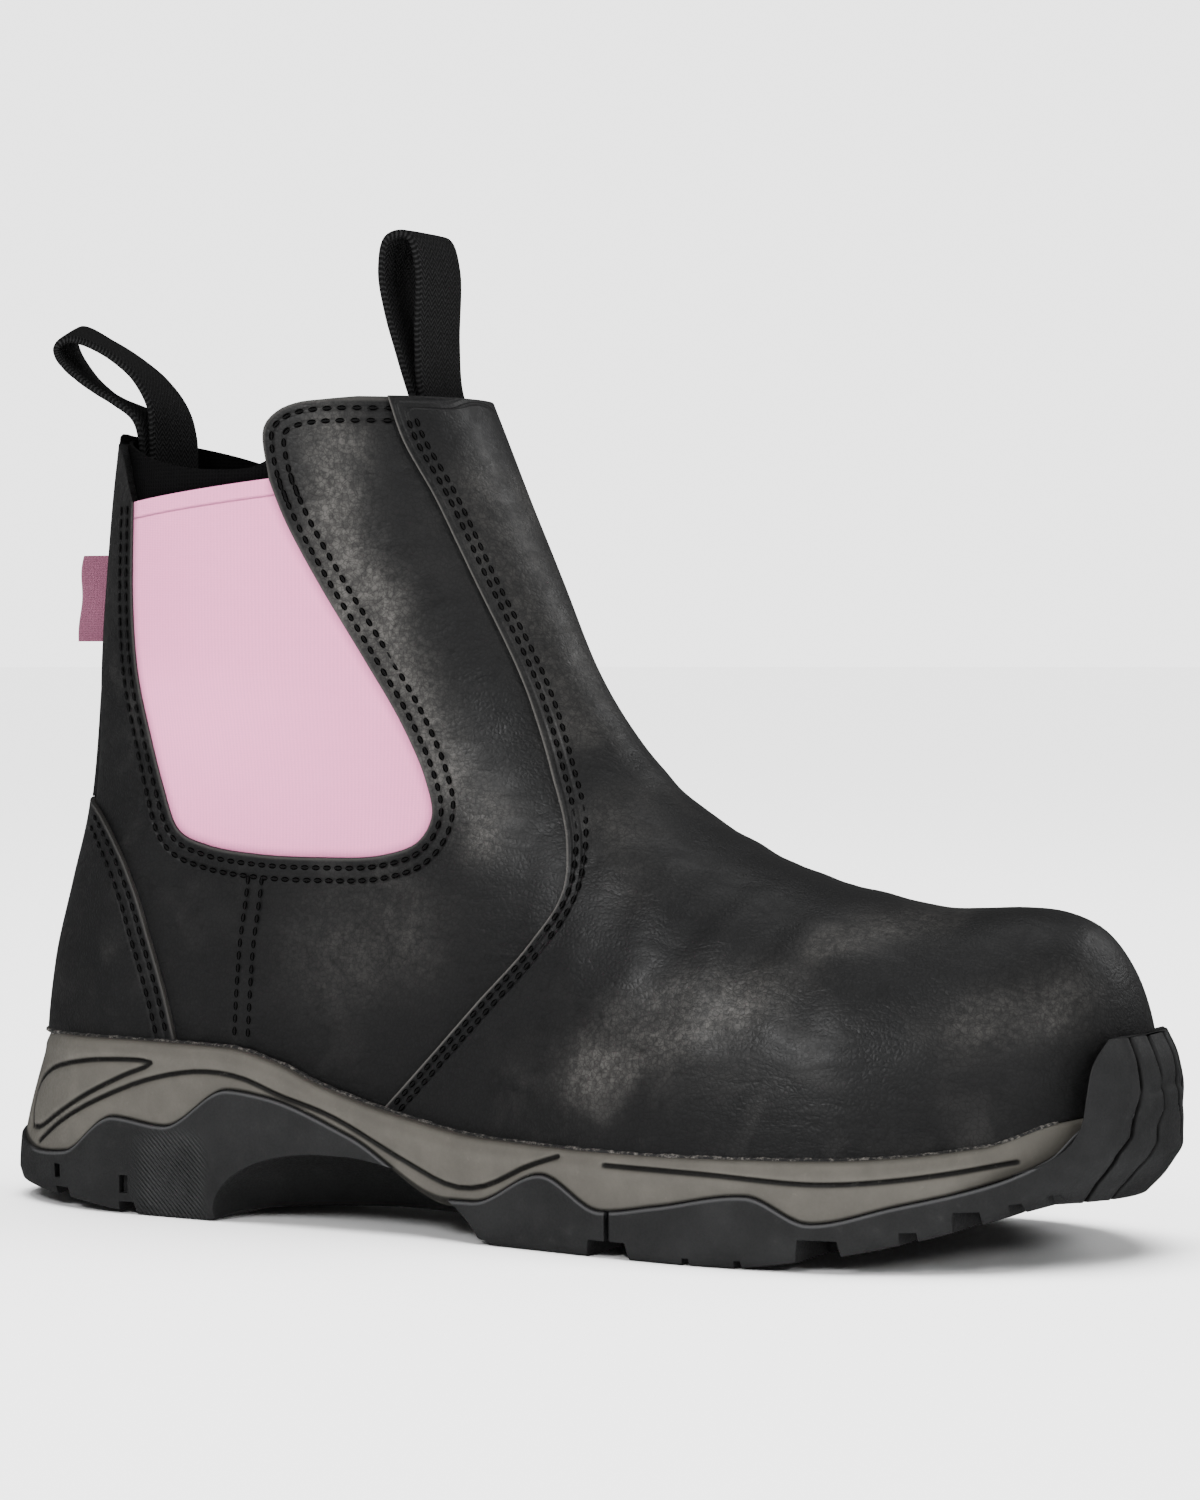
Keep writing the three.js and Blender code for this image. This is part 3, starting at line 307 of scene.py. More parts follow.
def table_curve(rows):
    """Smooth curve through a table's rows, with no overshoot between them."""
    xs = np.array([row[0] for row in rows], float)
    ys = np.array([row[1] for row in rows], float)
    slopes = np.diff(ys) / np.diff(xs)
    tangents = np.zeros(len(xs))
    tangents[0] = slopes[0]
    tangents[-1] = slopes[-1]
    for i in range(1, len(xs) - 1):
        if slopes[i - 1] * slopes[i] > 0:
            tangents[i] = 2 * slopes[i - 1] * slopes[i] / (slopes[i - 1] + slopes[i])

    def curve(x):
        x = np.asarray(x, float)
        i = np.clip(np.searchsorted(xs, x) - 1, 0, len(xs) - 2)
        step = xs[i + 1] - xs[i]
        s = (x - xs[i]) / step
        inside = (
            ys[i]
            + (ys[i + 1] - ys[i]) * (3 - 2 * s) * s * s
            + s * (1 - s) ** 2 * step * tangents[i]
            + s * s * (s - 1) * step * tangents[i + 1]
        )
        low = ys[0] + tangents[0] * (x - xs[0])
        high = ys[-1] + tangents[-1] * (x - xs[-1])
        return np.where(x < xs[0], low, np.where(x > xs[-1], high, inside))

    return curve


def smooth_step(low, high, value):
    s = np.clip((value - low) / (high - low), 0, 1)
    return s * s * (3 - 2 * s)


def mix(a, b, share):
    return a + (b - a) * share


def sole_step(low, high, x):
    """Smooth step between two shares of the sole's length."""
    return smooth_step(low, high, x / SOLE_LENGTH)


def unit(vectors):
    """The same directions at length one."""
    return vectors / np.maximum(np.linalg.norm(vectors, axis=-1), 1e-9)[..., None]


def spaced_shares(count, evenness):
    """Shares from 0 to 1, closer together towards both ends."""
    even = np.linspace(0, 1, count + 1)
    return mix((1 - np.cos(np.pi * even)) / 2, even, evenness)


def nose(distance, length):
    s = np.clip(distance / length, 0, 1)
    return np.sqrt(s * (2 - s))


def smooth_line(points, count):
    """Centripetal curve through points, sampled evenly along its length."""
    p = np.array(points, float)
    p = np.vstack([2 * p[0] - p[1], p, 2 * p[-1] - p[-2]])
    out = []
    for i in range(1, len(p) - 2):
        a, b, c, d = p[i - 1 : i + 3]
        t0 = 0.0
        t1 = t0 + max(np.linalg.norm(b - a), 1e-6) ** 0.5
        t2 = t1 + max(np.linalg.norm(c - b), 1e-6) ** 0.5
        t3 = t2 + max(np.linalg.norm(d - c), 1e-6) ** 0.5
        t = np.linspace(t1, t2, 24, endpoint=False)[:, None]
        ab = (t1 - t) / (t1 - t0) * a + (t - t0) / (t1 - t0) * b
        bc = (t2 - t) / (t2 - t1) * b + (t - t1) / (t2 - t1) * c
        cd = (t3 - t) / (t3 - t2) * c + (t - t2) / (t3 - t2) * d
        abc = (t2 - t) / (t2 - t0) * ab + (t - t0) / (t2 - t0) * bc
        bcd = (t3 - t) / (t3 - t1) * bc + (t - t1) / (t3 - t1) * cd
        out.append((t2 - t) / (t2 - t1) * abc + (t - t1) / (t2 - t1) * bcd)
    out.append(p[-2][None, :])
    return even_line(np.vstack(out), count)


def even_line(points, count):
    """The same line with evenly spaced points."""
    points = np.asarray(points, float)
    steps = np.linalg.norm(np.diff(points, axis=0), axis=1)
    length = np.concatenate([[0], np.cumsum(steps)])
    wanted = np.linspace(0, length[-1], count)
    return np.stack([np.interp(wanted, length, points[:, k]) for k in range(points.shape[1])], 1)


def line_length(points):
    return float(np.linalg.norm(np.diff(points, axis=0), axis=1).sum())


def shift_line(points, distance):
    """A line in the side view moved to its left by a distance."""
    points = np.asarray(points, float)
    tangent = unit(np.gradient(points, axis=0))
    return points + distance * np.stack([-tangent[:, 1], tangent[:, 0]], 1)


def distance_to_line(x, z, points):
    """Distance of many places of the side view to a line."""
    points = np.asarray(points, float)
    best = np.full(x.shape, 1e9)
    for a, b in zip(points[:-1], points[1:]):
        d = b - a
        t = np.clip(((x - a[0]) * d[0] + (z - a[1]) * d[1]) / max(d @ d, 1e-9), 0, 1)
        best = np.minimum(best, (x - a[0] - t * d[0]) ** 2 + (z - a[1] - t * d[1]) ** 2)
    return np.sqrt(best)


def nearest_line(x, z, lines, farthest):
    """Distance of many places of the side view to the nearest of some lines."""
    best = np.full(x.shape, farthest)
    for line in lines:
        best = np.minimum(best, distance_to_line(x, z, line))
    return best


def place(shares):
    """Places of the upper's side view in millimetres."""
    return np.array(shares, float) * (SOLE_LENGTH, COLLAR_HEIGHT)


def sole_line(rows):
    share = table_curve(rows)
    return lambda x: share(np.asarray(x, float) / SOLE_LENGTH) * RIM_HEIGHT


rim_at = sole_line(RIM_LINE)
outsole_top_at = sole_line(OUTSOLE_LINE)
ground_at = sole_line(GROUND_LINE)


def cup_floor_at(x):
    return rim_at(x) - CUP_DEPTH


TOE_TIP = TOE_FOOT * SOLE_LENGTH
FRONT_ROWS = (
    [(TOE_TIP, float(cup_floor_at(TOE_TIP)) + CLEARANCE)]
    + [(x * SOLE_LENGTH, z * TOE_HEIGHT) for x, z in TOE_PROFILE]
    + [(x * SOLE_LENGTH, z * COLLAR_HEIGHT) for x, z in INSTEP_PROFILE]
)
FRONT_PATH = smooth_line(FRONT_ROWS, 900)
SHAFT_PART = FRONT_PATH[FRONT_PATH[:, 0] < TOE_PROFILE[-1][0] * SOLE_LENGTH]
back_share = table_curve(BACK_PROFILE)
form_half_at = table_curve(FORM_HALF_WIDTH)
form_middle_at = table_curve(FORM_MIDDLE)
shaft_half_at = table_curve(SHAFT_HALF_WIDTH)


def crest_height(x):
    order = np.argsort(FRONT_PATH[:, 0], kind="stable")
    return np.interp(x, FRONT_PATH[order, 0], FRONT_PATH[order, 1])


def shaft_front(z):
    return np.interp(z, SHAFT_PART[:, 1], SHAFT_PART[:, 0])


def shaft_back(z):
    return back_share(z / COLLAR_HEIGHT) * SOLE_LENGTH


def foot_half(x, z):
    back = shaft_back(z)
    t = np.clip((x - back) / (TOE_TIP - back), 0, 1)
    ball = form_half_at(BALL_STATION)
    heel = HEEL_FORM_WIDTH / 2 / (form_half_at(HEEL_STATION) / ball)
    width = mix(heel, BALL_FORM_WIDTH / 2, smooth_step(*WIDTH_BLEND, t)) * (form_half_at(t) / ball)
    plan = width * nose(t, HEEL_NOSE) * nose(1 - t, TOE_NOSE)
    foot = cup_floor_at(x) - CLEARANCE
    crest = np.maximum(crest_height(x), foot + 1)
    h = np.clip((z - foot) / (crest - foot), 0, 1)
    return plan * np.sqrt(np.maximum(1 - h**CROSS_POWER, 0))


def shaft_half(x, z):
    back = shaft_back(z)
    t = np.clip((x - back) / (shaft_front(z) - back), 0, 1)
    half = shaft_half_at(z / COLLAR_HEIGHT) * SHAFT_WIDTH / 2
    egg = 1 + EGG_SHAPE * (1 - smooth_step(*EGG_FADE, z / COLLAR_HEIGHT)) * (1 - 2 * t)
    return half * (4 * t * (1 - t)) ** SHAFT_ROUNDNESS * egg


def form_half(x, z):
    x, z = np.asarray(x, float), np.asarray(z, float)
    share = smooth_step(*SHAFT_BLEND, z / COLLAR_HEIGHT)
    return mix(foot_half(x, z), shaft_half(x, z), share)


def form_middle_y(x, z):
    fade = 1 - smooth_step(*MIDDLE_FADE, np.asarray(z, float) / COLLAR_HEIGHT)
    return form_middle_at(np.clip(np.asarray(x, float) / TOE_TIP, 0, 1)) * SOLE_WIDTH * fade / 2


def row_point(t, v):
    """Place in the side view of the upper's grid, t along the foot and v from its foot to the collar."""
    foot_back = float(cup_floor_at(0)) + CLEARANCE
    collar_back = BACK_PROFILE[-1][0] * COLLAR_HEIGHT
    back_up = mix(foot_back, collar_back, v * (0.55 + 0.45 * v))
    count = len(FRONT_PATH) - 1
    reach = v**1.3 * count
    front_x = np.interp(reach, np.arange(count + 1), FRONT_PATH[:, 0])
    front_z = np.interp(reach, np.arange(count + 1), FRONT_PATH[:, 1])
    line = mix(back_up, front_z, t)
    x = mix(shaft_back(back_up), front_x, t)
    foot_x = mix(shaft_back(foot_back), TOE_TIP, t)
    foot_line = mix(foot_back, FRONT_ROWS[0][1], t)
    sag = (cup_floor_at(foot_x) + CLEARANCE - foot_line) * (1 - v) ** 2
    arch = COLLAR_ARCH * 4 * t * (1 - t) * v**4
    return x, line + sag + arch


def surface_point(x, z, side, lift):
    """Points and normals over the upper's outer face, at places of the side view."""
    x, z = np.asarray(x, float), np.asarray(z, float)
    step = 0.4

    def y_at(a, b):
        return form_middle_y(a, b) + side * form_half(a, b)

    y = y_at(x, z)
    slope_x = (y_at(x + step, z) - y_at(x - step, z)) / (2 * step)
    slope_z = (y_at(x, z + step) - y_at(x, z - step)) / (2 * step)
    normal = unit(np.stack([slope_x, -np.ones_like(x), slope_z], -1) * -side)
    return np.stack([x, y, z], -1) + normal * lift, normal


def crease_depth(x, z):
    """How far the leather's folds sink at places of the side view."""
    depth = np.zeros_like(x)
    for points, sink, width in CREASES:
        line = smooth_line(points, 12)
        d = distance_to_line(x, z, line)
        along = np.clip(distance_to_line(x, z, [line[0], line[0]]) / FOLD_END, 0, 1)
        along = along * np.clip(distance_to_line(x, z, [line[-1], line[-1]]) / FOLD_END, 0, 1)
        trough = -np.exp(-((d / width) ** 2)) + 0.45 * np.exp(-(((d - 1.6 * width) / width) ** 2))
        depth += sink * trough * along
    return depth


def rubbing_and_highlight(obj):
    """How strongly the leather is rubbed and given painted highlight at each of a piece's vertices."""
    points = drawn_points(obj)
    share = np.zeros(len(points))
    for line, reach, strength in RUBBED_HIGHLIGHTS:
        d = distance_to_line(points[:, 0], points[:, 2], smooth_line(line, 16))
        share += strength * np.exp(-((d / reach) ** 2))
    return np.clip(share, 0, 1)


class Form:
    """Fine grid of the upper's outer face, with its normals."""

    def __init__(self, stations=190, rows=150):
        t = spaced_shares(stations, 0.35)
        v = np.linspace(0, 1, rows + 1)
        x, z = row_point(t[None, :], v[:, None])
        half = form_half(x, z)
        half[:, 0] = 0
        half[:, -1] = 0
        middle = form_middle_y(x, z)
        near = np.stack([x, middle - half, z], -1)
        far = np.stack([x, middle + half, z], -1)[:, -2:0:-1]
        self.points = np.concatenate([near, far], 1)
        along = np.roll(self.points, -1, 1) - np.roll(self.points, 1, 1)
        self.normals = unit(np.cross(along, np.gradient(self.points, axis=0)))
        self.folds = crease_depth(self.points[..., 0], self.points[..., 2])

    def face(self, lift, folds=0.0):
        """The grid at a lift from the outer face, sunk a share of the folds' depth."""
        return self.points + self.normals * (lift + folds * self.folds)[..., None]

    def shell(self, name, inner, outer, folds=1.0):
        """Closed wall between two lifts of the face, with a rounded rim at the collar."""
        outside = self.face(outer, folds)
        inside = self.face(inner)
        rims = []
        for angle in (45, 90, 135):
            share = (1 - math.cos(math.radians(angle))) / 2
            rise = math.sin(math.radians(angle)) * (outer - inner) * 0.35
            rims.append(mix(outside[-1], inside[-1], share) + np.array([0, 0, rise]))
        rings = np.concatenate([outside, np.array(rims), inside[::-1]], 0)
        return loft(name, rings, closed=True)

    def body(self, name, lift):
        return loft(name, self.face(lift), capped=True)


def loft(name, rings, closed=False, capped=False):
    """Mesh piece over rings of points in millimetres. Closed joins the last ring to the first."""
    count, size = rings.shape[:2]
    bands = count if closed else count - 1
    r = np.arange(bands)[:, None] * size
    k = np.arange(size)[None, :]
    high = (np.arange(bands)[:, None] + 1) % count * size
    quads = np.stack([r + k, r + (k + 1) % size, high + (k + 1) % size, high + k], -1)
    faces = quads.reshape(-1, 4)
    if capped:
        half = size // 2
        low_cap, high_cap = [], []
        for i in range(half):
            quad = [i, i + 1, size - i - 1, (size - i) % size]
            quad = list(dict.fromkeys(quad))
            low_cap.append(quad[::-1])
            high_cap.append([(count - 1) * size + q for q in quad])
        return piece(name, rings.reshape(-1, 3), faces.tolist() + low_cap + high_cap)
    return piece(name, rings.reshape(-1, 3), faces)


def piece(name, points, faces):
    """New mesh object from points in millimetres of the boot's own drawing."""
    mesh = bpy.data.meshes.new(name)
    verts = (np.asarray(points, float) - SOLE_MIDDLE) / 1000
    mesh.from_pydata(verts.tolist(), [], faces.tolist() if hasattr(faces, "tolist") else faces)
    mesh.validate()
    mesh.shade_smooth()
    obj = bpy.data.objects.new(name, mesh)
    bpy.context.scene.collection.objects.link(obj)
    return obj


def drawn_points(obj):
    """A piece's vertices in millimetres of the boot's own drawing."""
    flat = np.zeros(len(obj.data.vertices) * 3)
    obj.data.vertices.foreach_get("co", flat)
    return flat.reshape(-1, 3) * 1000 + SOLE_MIDDLE


def prism(name, outline, low=-SIDE_REACH, high=SIDE_REACH):
    """Closed prism whose outline lies in the side view."""
    outline = np.asarray(outline, float)
    count = len(outline)
    a = np.stack([outline[:, 0], np.full(count, low), outline[:, 1]], 1)
    b = np.stack([outline[:, 0], np.full(count, high), outline[:, 1]], 1)
    sides = [[(i + 1) % count, i, count + i, count + (i + 1) % count] for i in range(count)]
    ends = [list(range(count)), list(range(2 * count - 1, count - 1, -1))]
    return piece(name, np.vstack([a, b]), sides + ends)


def block(name, low, high):
    x0, y0, z0 = low
    x1, y1, z1 = high
    return prism(name, [(x0, z0), (x1, z0), (x1, z1), (x0, z1)], y0, y1)


def trim(obj, cutter, operation):
    """Joins or cuts a piece with another closed piece, which is used up."""
    modifier = obj.modifiers.new("trim", "BOOLEAN")
    modifier.operation = operation
    modifier.solver = "MANIFOLD"
    modifier.object = cutter
    bpy.context.view_layer.update()
    graph = bpy.context.evaluated_depsgraph_get()
    mesh = bpy.data.meshes.new_from_object(obj.evaluated_get(graph))
    if not len(mesh.polygons):
        raise RuntimeError(f"{obj.name} came out empty")
    old = obj.data
    obj.modifiers.clear()
    obj.data = mesh
    bpy.data.meshes.remove(old)
    bpy.data.objects.remove(cutter)


def finish_piece(obj, surface, nodes=(), crisp=35):
    """Gives a piece its surface, the body it rides on and the solids it stands for."""
    obj.data.materials.clear()
    obj.data.materials.append(surface)
    obj.data.shade_smooth()
    if crisp:
        obj.data.set_sharp_from_angle(angle=math.radians(crisp))
    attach(obj, "root")
    if nodes:
        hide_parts(*nodes)


def paint(obj, name, values):
    """Stores one number for each vertex, for the surface's nodes to read."""
    layer = obj.data.attributes.new(name, "FLOAT", "POINT")
    layer.data.foreach_set("value", np.asarray(values, np.float32))


def shade(colour, share):
    """A darker or lighter shade of a colour."""
    return tuple(min(c * share, 1) for c in colour[:3])


class Surface:
    """Node material in the making."""

    def __init__(self, name, colour, roughness):
        self.material = bpy.data.materials.new(name)
        self.material.use_nodes = True
        self.material.diffuse_color = (*colour[:3], 1)
        self.nodes = self.material.node_tree.nodes
        self.links = self.material.node_tree.links
        self.shader = self.nodes["Principled BSDF"]
        self.shader.inputs["Base Color"].default_value = (*colour[:3], 1)
        self.shader.inputs["Roughness"].default_value = roughness
        self.place = self.nodes.new("ShaderNodeTexCoord").outputs["Object"]
        self.height = None

    def set(self, **values):
        for socket, value in values.items():
            self.shader.inputs[socket.replace("_", " ")].default_value = value

    def node(self, kind, **inputs):
        """New node whose inputs take numbers or the outputs of other nodes."""
        node = self.nodes.new("ShaderNode" + kind)
        for name, value in inputs.items():
            socket = node.inputs[name.replace("_", " ")]
            if isinstance(value, bpy.types.NodeSocket):
                self.links.new(value, socket)
            else:
                socket.default_value = value
        return node

    def scaled(self, scale):
        return self.node("Mapping", Vector=self.place, Scale=scale).outputs["Vector"]

    def noise(self, size_mm, detail=4, roughness=0.55, place=None, distortion=0.0):
        return self.node(
            "TexNoise", Vector=place or self.place, Scale=1000 / size_mm, Detail=detail,
            Roughness=roughness, Distortion=distortion).outputs["Fac"]

    def cells(self, size_mm):
        node = self.node("TexVoronoi", Vector=self.place, Scale=1000 / size_mm)
        node.feature = "DISTANCE_TO_EDGE"
        return node.outputs["Distance"]

    def wave(self, size_mm, direction, distortion=0.0):
        """Bands at a pitch in millimetres."""
        period = math.pi / 5 if direction == "DIAGONAL" else math.pi / 10
        node = self.node("TexWave", Vector=self.place, Scale=1000 * period / size_mm,
                         Distortion=distortion)
        node.wave_type = "BANDS"
        node.bands_direction = direction
        node.wave_profile = "SIN"
        return node.outputs["Fac"]

    def stored(self, name):
        node = self.nodes.new("ShaderNodeAttribute")
        node.attribute_name = name
        return node.outputs["Fac"]

    def band(self, value, low, high, to_low=0.0, to_high=1.0):
        """A value's smooth step from one level to another."""
        node = self.node("MapRange", Value=value, From_Min=low, From_Max=high, To_Min=to_low,
                         To_Max=to_high)
        node.interpolation_type = "SMOOTHSTEP"
        return node.outputs["Result"]

    def line(self, value, centre, half):
        """1 within a stretch about centre, falling to 0 at half."""
        away = self.math("ABSOLUTE", self.math("SUBTRACT", value, centre))
        return self.band(away, 0, half, 1, 0)

    def math(self, operation, a, b=None):
        node = self.nodes.new("ShaderNodeMath")
        node.operation = operation
        for socket, value in zip(node.inputs, (a, b)):
            if value is None:
                continue
            if isinstance(value, (int, float)):
                socket.default_value = value
            else:
                self.links.new(value, socket)
        return node.outputs["Value"]

    def times(self, a, b):
        return self.math("MULTIPLY", a, b)

    def plus(self, a, b):
        return self.math("ADD", a, b)

    def blend_colour(self, share, low, high):
        node = self.nodes.new("ShaderNodeMix")
        node.data_type = "RGBA"
        for socket, value in ((node.inputs[6], low), (node.inputs[7], high)):
            if isinstance(value, bpy.types.NodeSocket):
                self.links.new(value, socket)
            else:
                socket.default_value = (*value[:3], 1)
        self.links.new(share, node.inputs[0])
        return node.outputs[2]

    def colour(self, output):
        self.links.new(output, self.shader.inputs["Base Color"])

    def rough(self, output):
        self.links.new(output, self.shader.inputs["Roughness"])

    def bump(self, height, depth_mm, strength=1.0):
        """Adds relief over the bumps made so far."""
        below = {} if self.height is None else {"Normal": self.height}
        self.face(self.node("Bump", Height=height, Strength=strength, Distance=depth_mm / 1000, **below))

    def face(self, node):
        """Lets a node's normal shape the surface."""
        self.height = node.outputs["Normal"]
        self.links.new(self.height, self.shader.inputs["Normal"])

    def soft_edges(self, radius_mm):
        node = self.node("Bevel", Radius=radius_mm / 1000)
        node.samples = 4
        self.face(node)


def leather_surface(name, settings, edge_highlight):
    """Oiled black leather with fine pebbling, rubbed patches with painted highlight, painted highlight
    along ply edges and dips under the stitches.
    """
    made = Surface(name, settings.leather_colour, settings.leather_roughness)
    made.soft_edges(0.5)
    patches = made.noise(46, 3, 0.5)
    wear = made.noise(15, 6, 0.62, distortion=0.6)
    faint = made.times(made.band(patches, 0.42, 0.66), made.band(wear, 0.44, 0.72))
    # rubbed patches, partly real burnish and partly painted highlight where light would fall on the
    # leather
    highlight_marks = made.times(made.stored("rubbed_highlight"), made.band(wear, 0.3, 0.68, 0.35, 1))
    speckle = made.band(made.noise(1.5, 4, 0.7), 0.38, 0.66, 0.45, 1.25)
    rubbed_highlight = made.plus(made.times(faint, 0.16), made.times(highlight_marks, speckle))
    pores = made.cells(1.15)
    fine = made.noise(0.7, 3, 0.6)
    streaks = made.noise(6, 5, 0.6, made.scaled((0.45, 1, 1.4)), 1.2)
    # lighter toward the burnish colour: random real rubbing plus the patches' painted highlight
    tone = made.blend_colour(rubbed_highlight, settings.leather_colour, settings.burnish_and_highlight_colour)
    pit = made.band(pores, 0.0, 0.11, 1, 0)
    tone = made.blend_colour(made.times(pit, 0.45), tone, PORE_TONE)
    # painted highlight along the ply's cut edge, fading within about a millimetre of it
    seam = made.stored("seam_mm")
    rim = made.band(seam, 0.1, 1.0, edge_highlight, 0)
    tone = made.blend_colour(rim, tone, settings.burnish_and_highlight_colour)
    made.colour(tone)
    low = settings.leather_roughness
    made.rough(made.band(made.plus(streaks, made.times(fine, 0.3)), 0.3, 0.95,
                         low - 0.07, low + 0.14))
    made.set(Specular_IOR_Level=0.22)
    made.bump(streaks, 0.5, 0.55)
    made.bump(wear, 0.35, 0.35)
    made.bump(pores, 0.22, settings.grain)
    made.bump(fine, 0.08, 0.6)
    for row in (settings.first_row, settings.second_row):
        made.bump(made.line(seam, row, 0.9), -0.3, 0.8)
    return made.material


def thread_surface(settings):
    made = Surface("sewing_thread", settings.thread_colour, 0.62)
    made.set(Specular_IOR_Level=0.15)
    twist = made.wave(0.5, "DIAGONAL")
    made.bump(twist, 0.12, 0.8)
    made.colour(made.blend_colour(twist, THREAD_SHADE, settings.thread_colour))
    return made.material


def elastic_surface(name, settings):
    """Ribbed elastic: fine upright cords crossed by closer threads, with painted shade along the hem's
    fold and beside the leather's edge.
    """
    made = Surface(name, settings.gore_colour, 0.82)
    cords = made.wave(0.9, "X", distortion=0.5)
    picks = made.wave(0.4, "Z", distortion=0.8)
    fuzz = made.noise(0.45, 4, 0.7)
    cloudy = made.noise(30, 3, 0.5)
    weave = made.times(made.plus(cords, made.times(picks, 0.6)), 0.62)
    light = settings.gore_colour
    tone = made.blend_colour(weave, shade(light, 0.88), light)
    tone = made.blend_colour(made.band(cloudy, 0.4, 0.7, 0, 0.25), tone, shade(light, 0.88))
    hem = made.stored("hem_mm")
    # painted shade along the fold of the hem
    fold = made.line(hem, settings.hem_height, 0.45)
    tone = made.blend_colour(fold, tone, shade(light, 0.62))
    # painted shade on the gore beside the leather's edge that stands over it
    rim = made.stored("rim_mm")
    tone = made.blend_colour(made.band(rim, 0.0, 2.6, 0.5, 0), tone, shade(light, 0.35))
    made.colour(tone)
    made.set(Sheen_Weight=0.08, Sheen_Roughness=0.5, Specular_IOR_Level=0.15)
    made.bump(weave, 0.14, 0.45)
    made.bump(fuzz, 0.14, 0.5)
    made.bump(fold, -0.5, 0.8)
    return made.material


def foam_surface(settings):
    made = Surface("moulded_foam", settings.midsole_colour, 0.62)
    made.soft_edges(0.35)
    mottle = made.noise(9, 5, 0.6)
    skin = made.noise(0.8, 4, 0.65)
    dust = made.noise(2.2, 5, 0.7)
    base = settings.midsole_colour
    tone = made.blend_colour(made.band(mottle, 0.35, 0.7), shade(base, 0.84), base)
    groove = made.stored("groove_mm")
    # painted shade inside the moulded grooves
    inside = made.band(groove, 0.3, 0.9, 1, 0)
    tone = made.blend_colour(made.times(inside, 0.96), tone, shade(base, 0.04))
    # painted shade at the midsole's foot, where it meets the outsole
    junction_shade = made.band(made.stored("seat_mm"), 0.25, 0.95, 0.85, 0)
    tone = made.blend_colour(junction_shade, tone, shade(base, 0.12))
    scuff = made.band(dust, 0.6, 0.74, 0, 0.3)
    tone = made.blend_colour(scuff, tone, shade(base, 1.5))
    made.colour(tone)
    made.rough(made.band(skin, 0.3, 0.7, 0.55, 0.72))
    made.bump(skin, 0.1, 0.45)
    made.bump(mottle, 0.25, 0.2)
    made.set(Specular_IOR_Level=0.25)
    return made.material


def rubber_surface(name, settings):
    made = Surface(name, settings.rubber_colour, 0.55)
    made.soft_edges(0.45)
    skin = made.noise(0.6, 4, 0.65)
    mottle = made.noise(14, 4, 0.6)
    dust = made.noise(3.5, 6, 0.7)
    base = settings.rubber_colour
    tone = made.blend_colour(made.band(mottle, 0.35, 0.7), shade(base, 0.72), base)
    tone = made.blend_colour(made.band(dust, 0.58, 0.78, 0, 0.22), tone, DUST_TONE)
    made.rough(made.band(skin, 0.3, 0.7, 0.5, 0.68))
    made.set(Specular_IOR_Level=0.3)
    # painted highlight along the outsole's top lip
    lip_highlight = made.line(made.stored("lip_mm"), 0.45, 0.6)
    tone = made.blend_colour(made.times(lip_highlight, 0.8), tone, LIP_HIGHLIGHT_TONE)
    # painted highlight on the rows of the moulded hatch
    rows = made.times(made.wave(1.2, "DIAGONAL"), made.stored("hatch"))
    tone = made.blend_colour(made.times(rows, 0.16), tone, HATCH_HIGHLIGHT_TONE)
    # painted shade inside the bumper's grooves
    cut = made.band(made.stored("groove_mm"), 0.4, 1.05, 0.95, 0)
    tone = made.blend_colour(cut, tone, GROOVE_SHADE_TONE)
    made.colour(tone)
    made.bump(rows, 0.5, 0.9)
    made.bump(skin, 0.1, 0.5)
    made.bump(mottle, 0.2, 0.2)
    return made.material


def webbing_surface(settings):
    """Herringbone webbing, woven along the strip's own coordinates."""
    made = Surface("woven_webbing", settings.webbing_colour, 0.72)
    strip = made.nodes.new("ShaderNodeUVMap").outputs["UV"]
    split = made.nodes.new("ShaderNodeSeparateXYZ")
    made.links.new(strip, split.inputs["Vector"])
    across, along = split.outputs["X"], split.outputs["Y"]
    fold = made.math("PINGPONG", across, 1.6)
    twill = made.math("SINE", made.times(made.plus(along, fold), 5.2))
    ends = made.math("SINE", made.times(across, 11.0))
    weave = made.plus(made.times(twill, 0.6), made.times(ends, 0.3))
    fuzz = made.noise(0.4, 3, 0.7)
    base = settings.webbing_colour
    raised = made.band(weave, -0.7, 0.8)
    tone = made.blend_colour(raised, shade(base, 0.4), shade(base, 1.9))
    made.colour(tone)
    made.set(Specular_IOR_Level=0.06)
    made.bump(raised, 0.3, 0.8)
    made.bump(fuzz, 0.1, 0.5)
    return made.material


def cloth_surface(name, colour, size_mm, sheen=0.15):
    made = Surface(name, colour, 0.88)
    warp = made.wave(size_mm, "Z", distortion=0.4)
    weft = made.wave(size_mm, "X", distortion=0.4)
    fuzz = made.noise(size_mm * 0.6, 4, 0.7)
    weave = made.math("MAXIMUM", warp, weft)
    tone = made.blend_colour(weave, shade(colour, 0.55), colour)
    tone = made.blend_colour(made.band(fuzz, 0.55, 0.8, 0, 0.35), tone, shade(colour, 1.35))
    made.colour(tone)
    made.set(Sheen_Weight=sheen, Sheen_Roughness=0.5, Specular_IOR_Level=0.06)
    made.bump(weave, 0.2, 0.6)
    made.bump(fuzz, 0.15, 0.5)
    return made.material


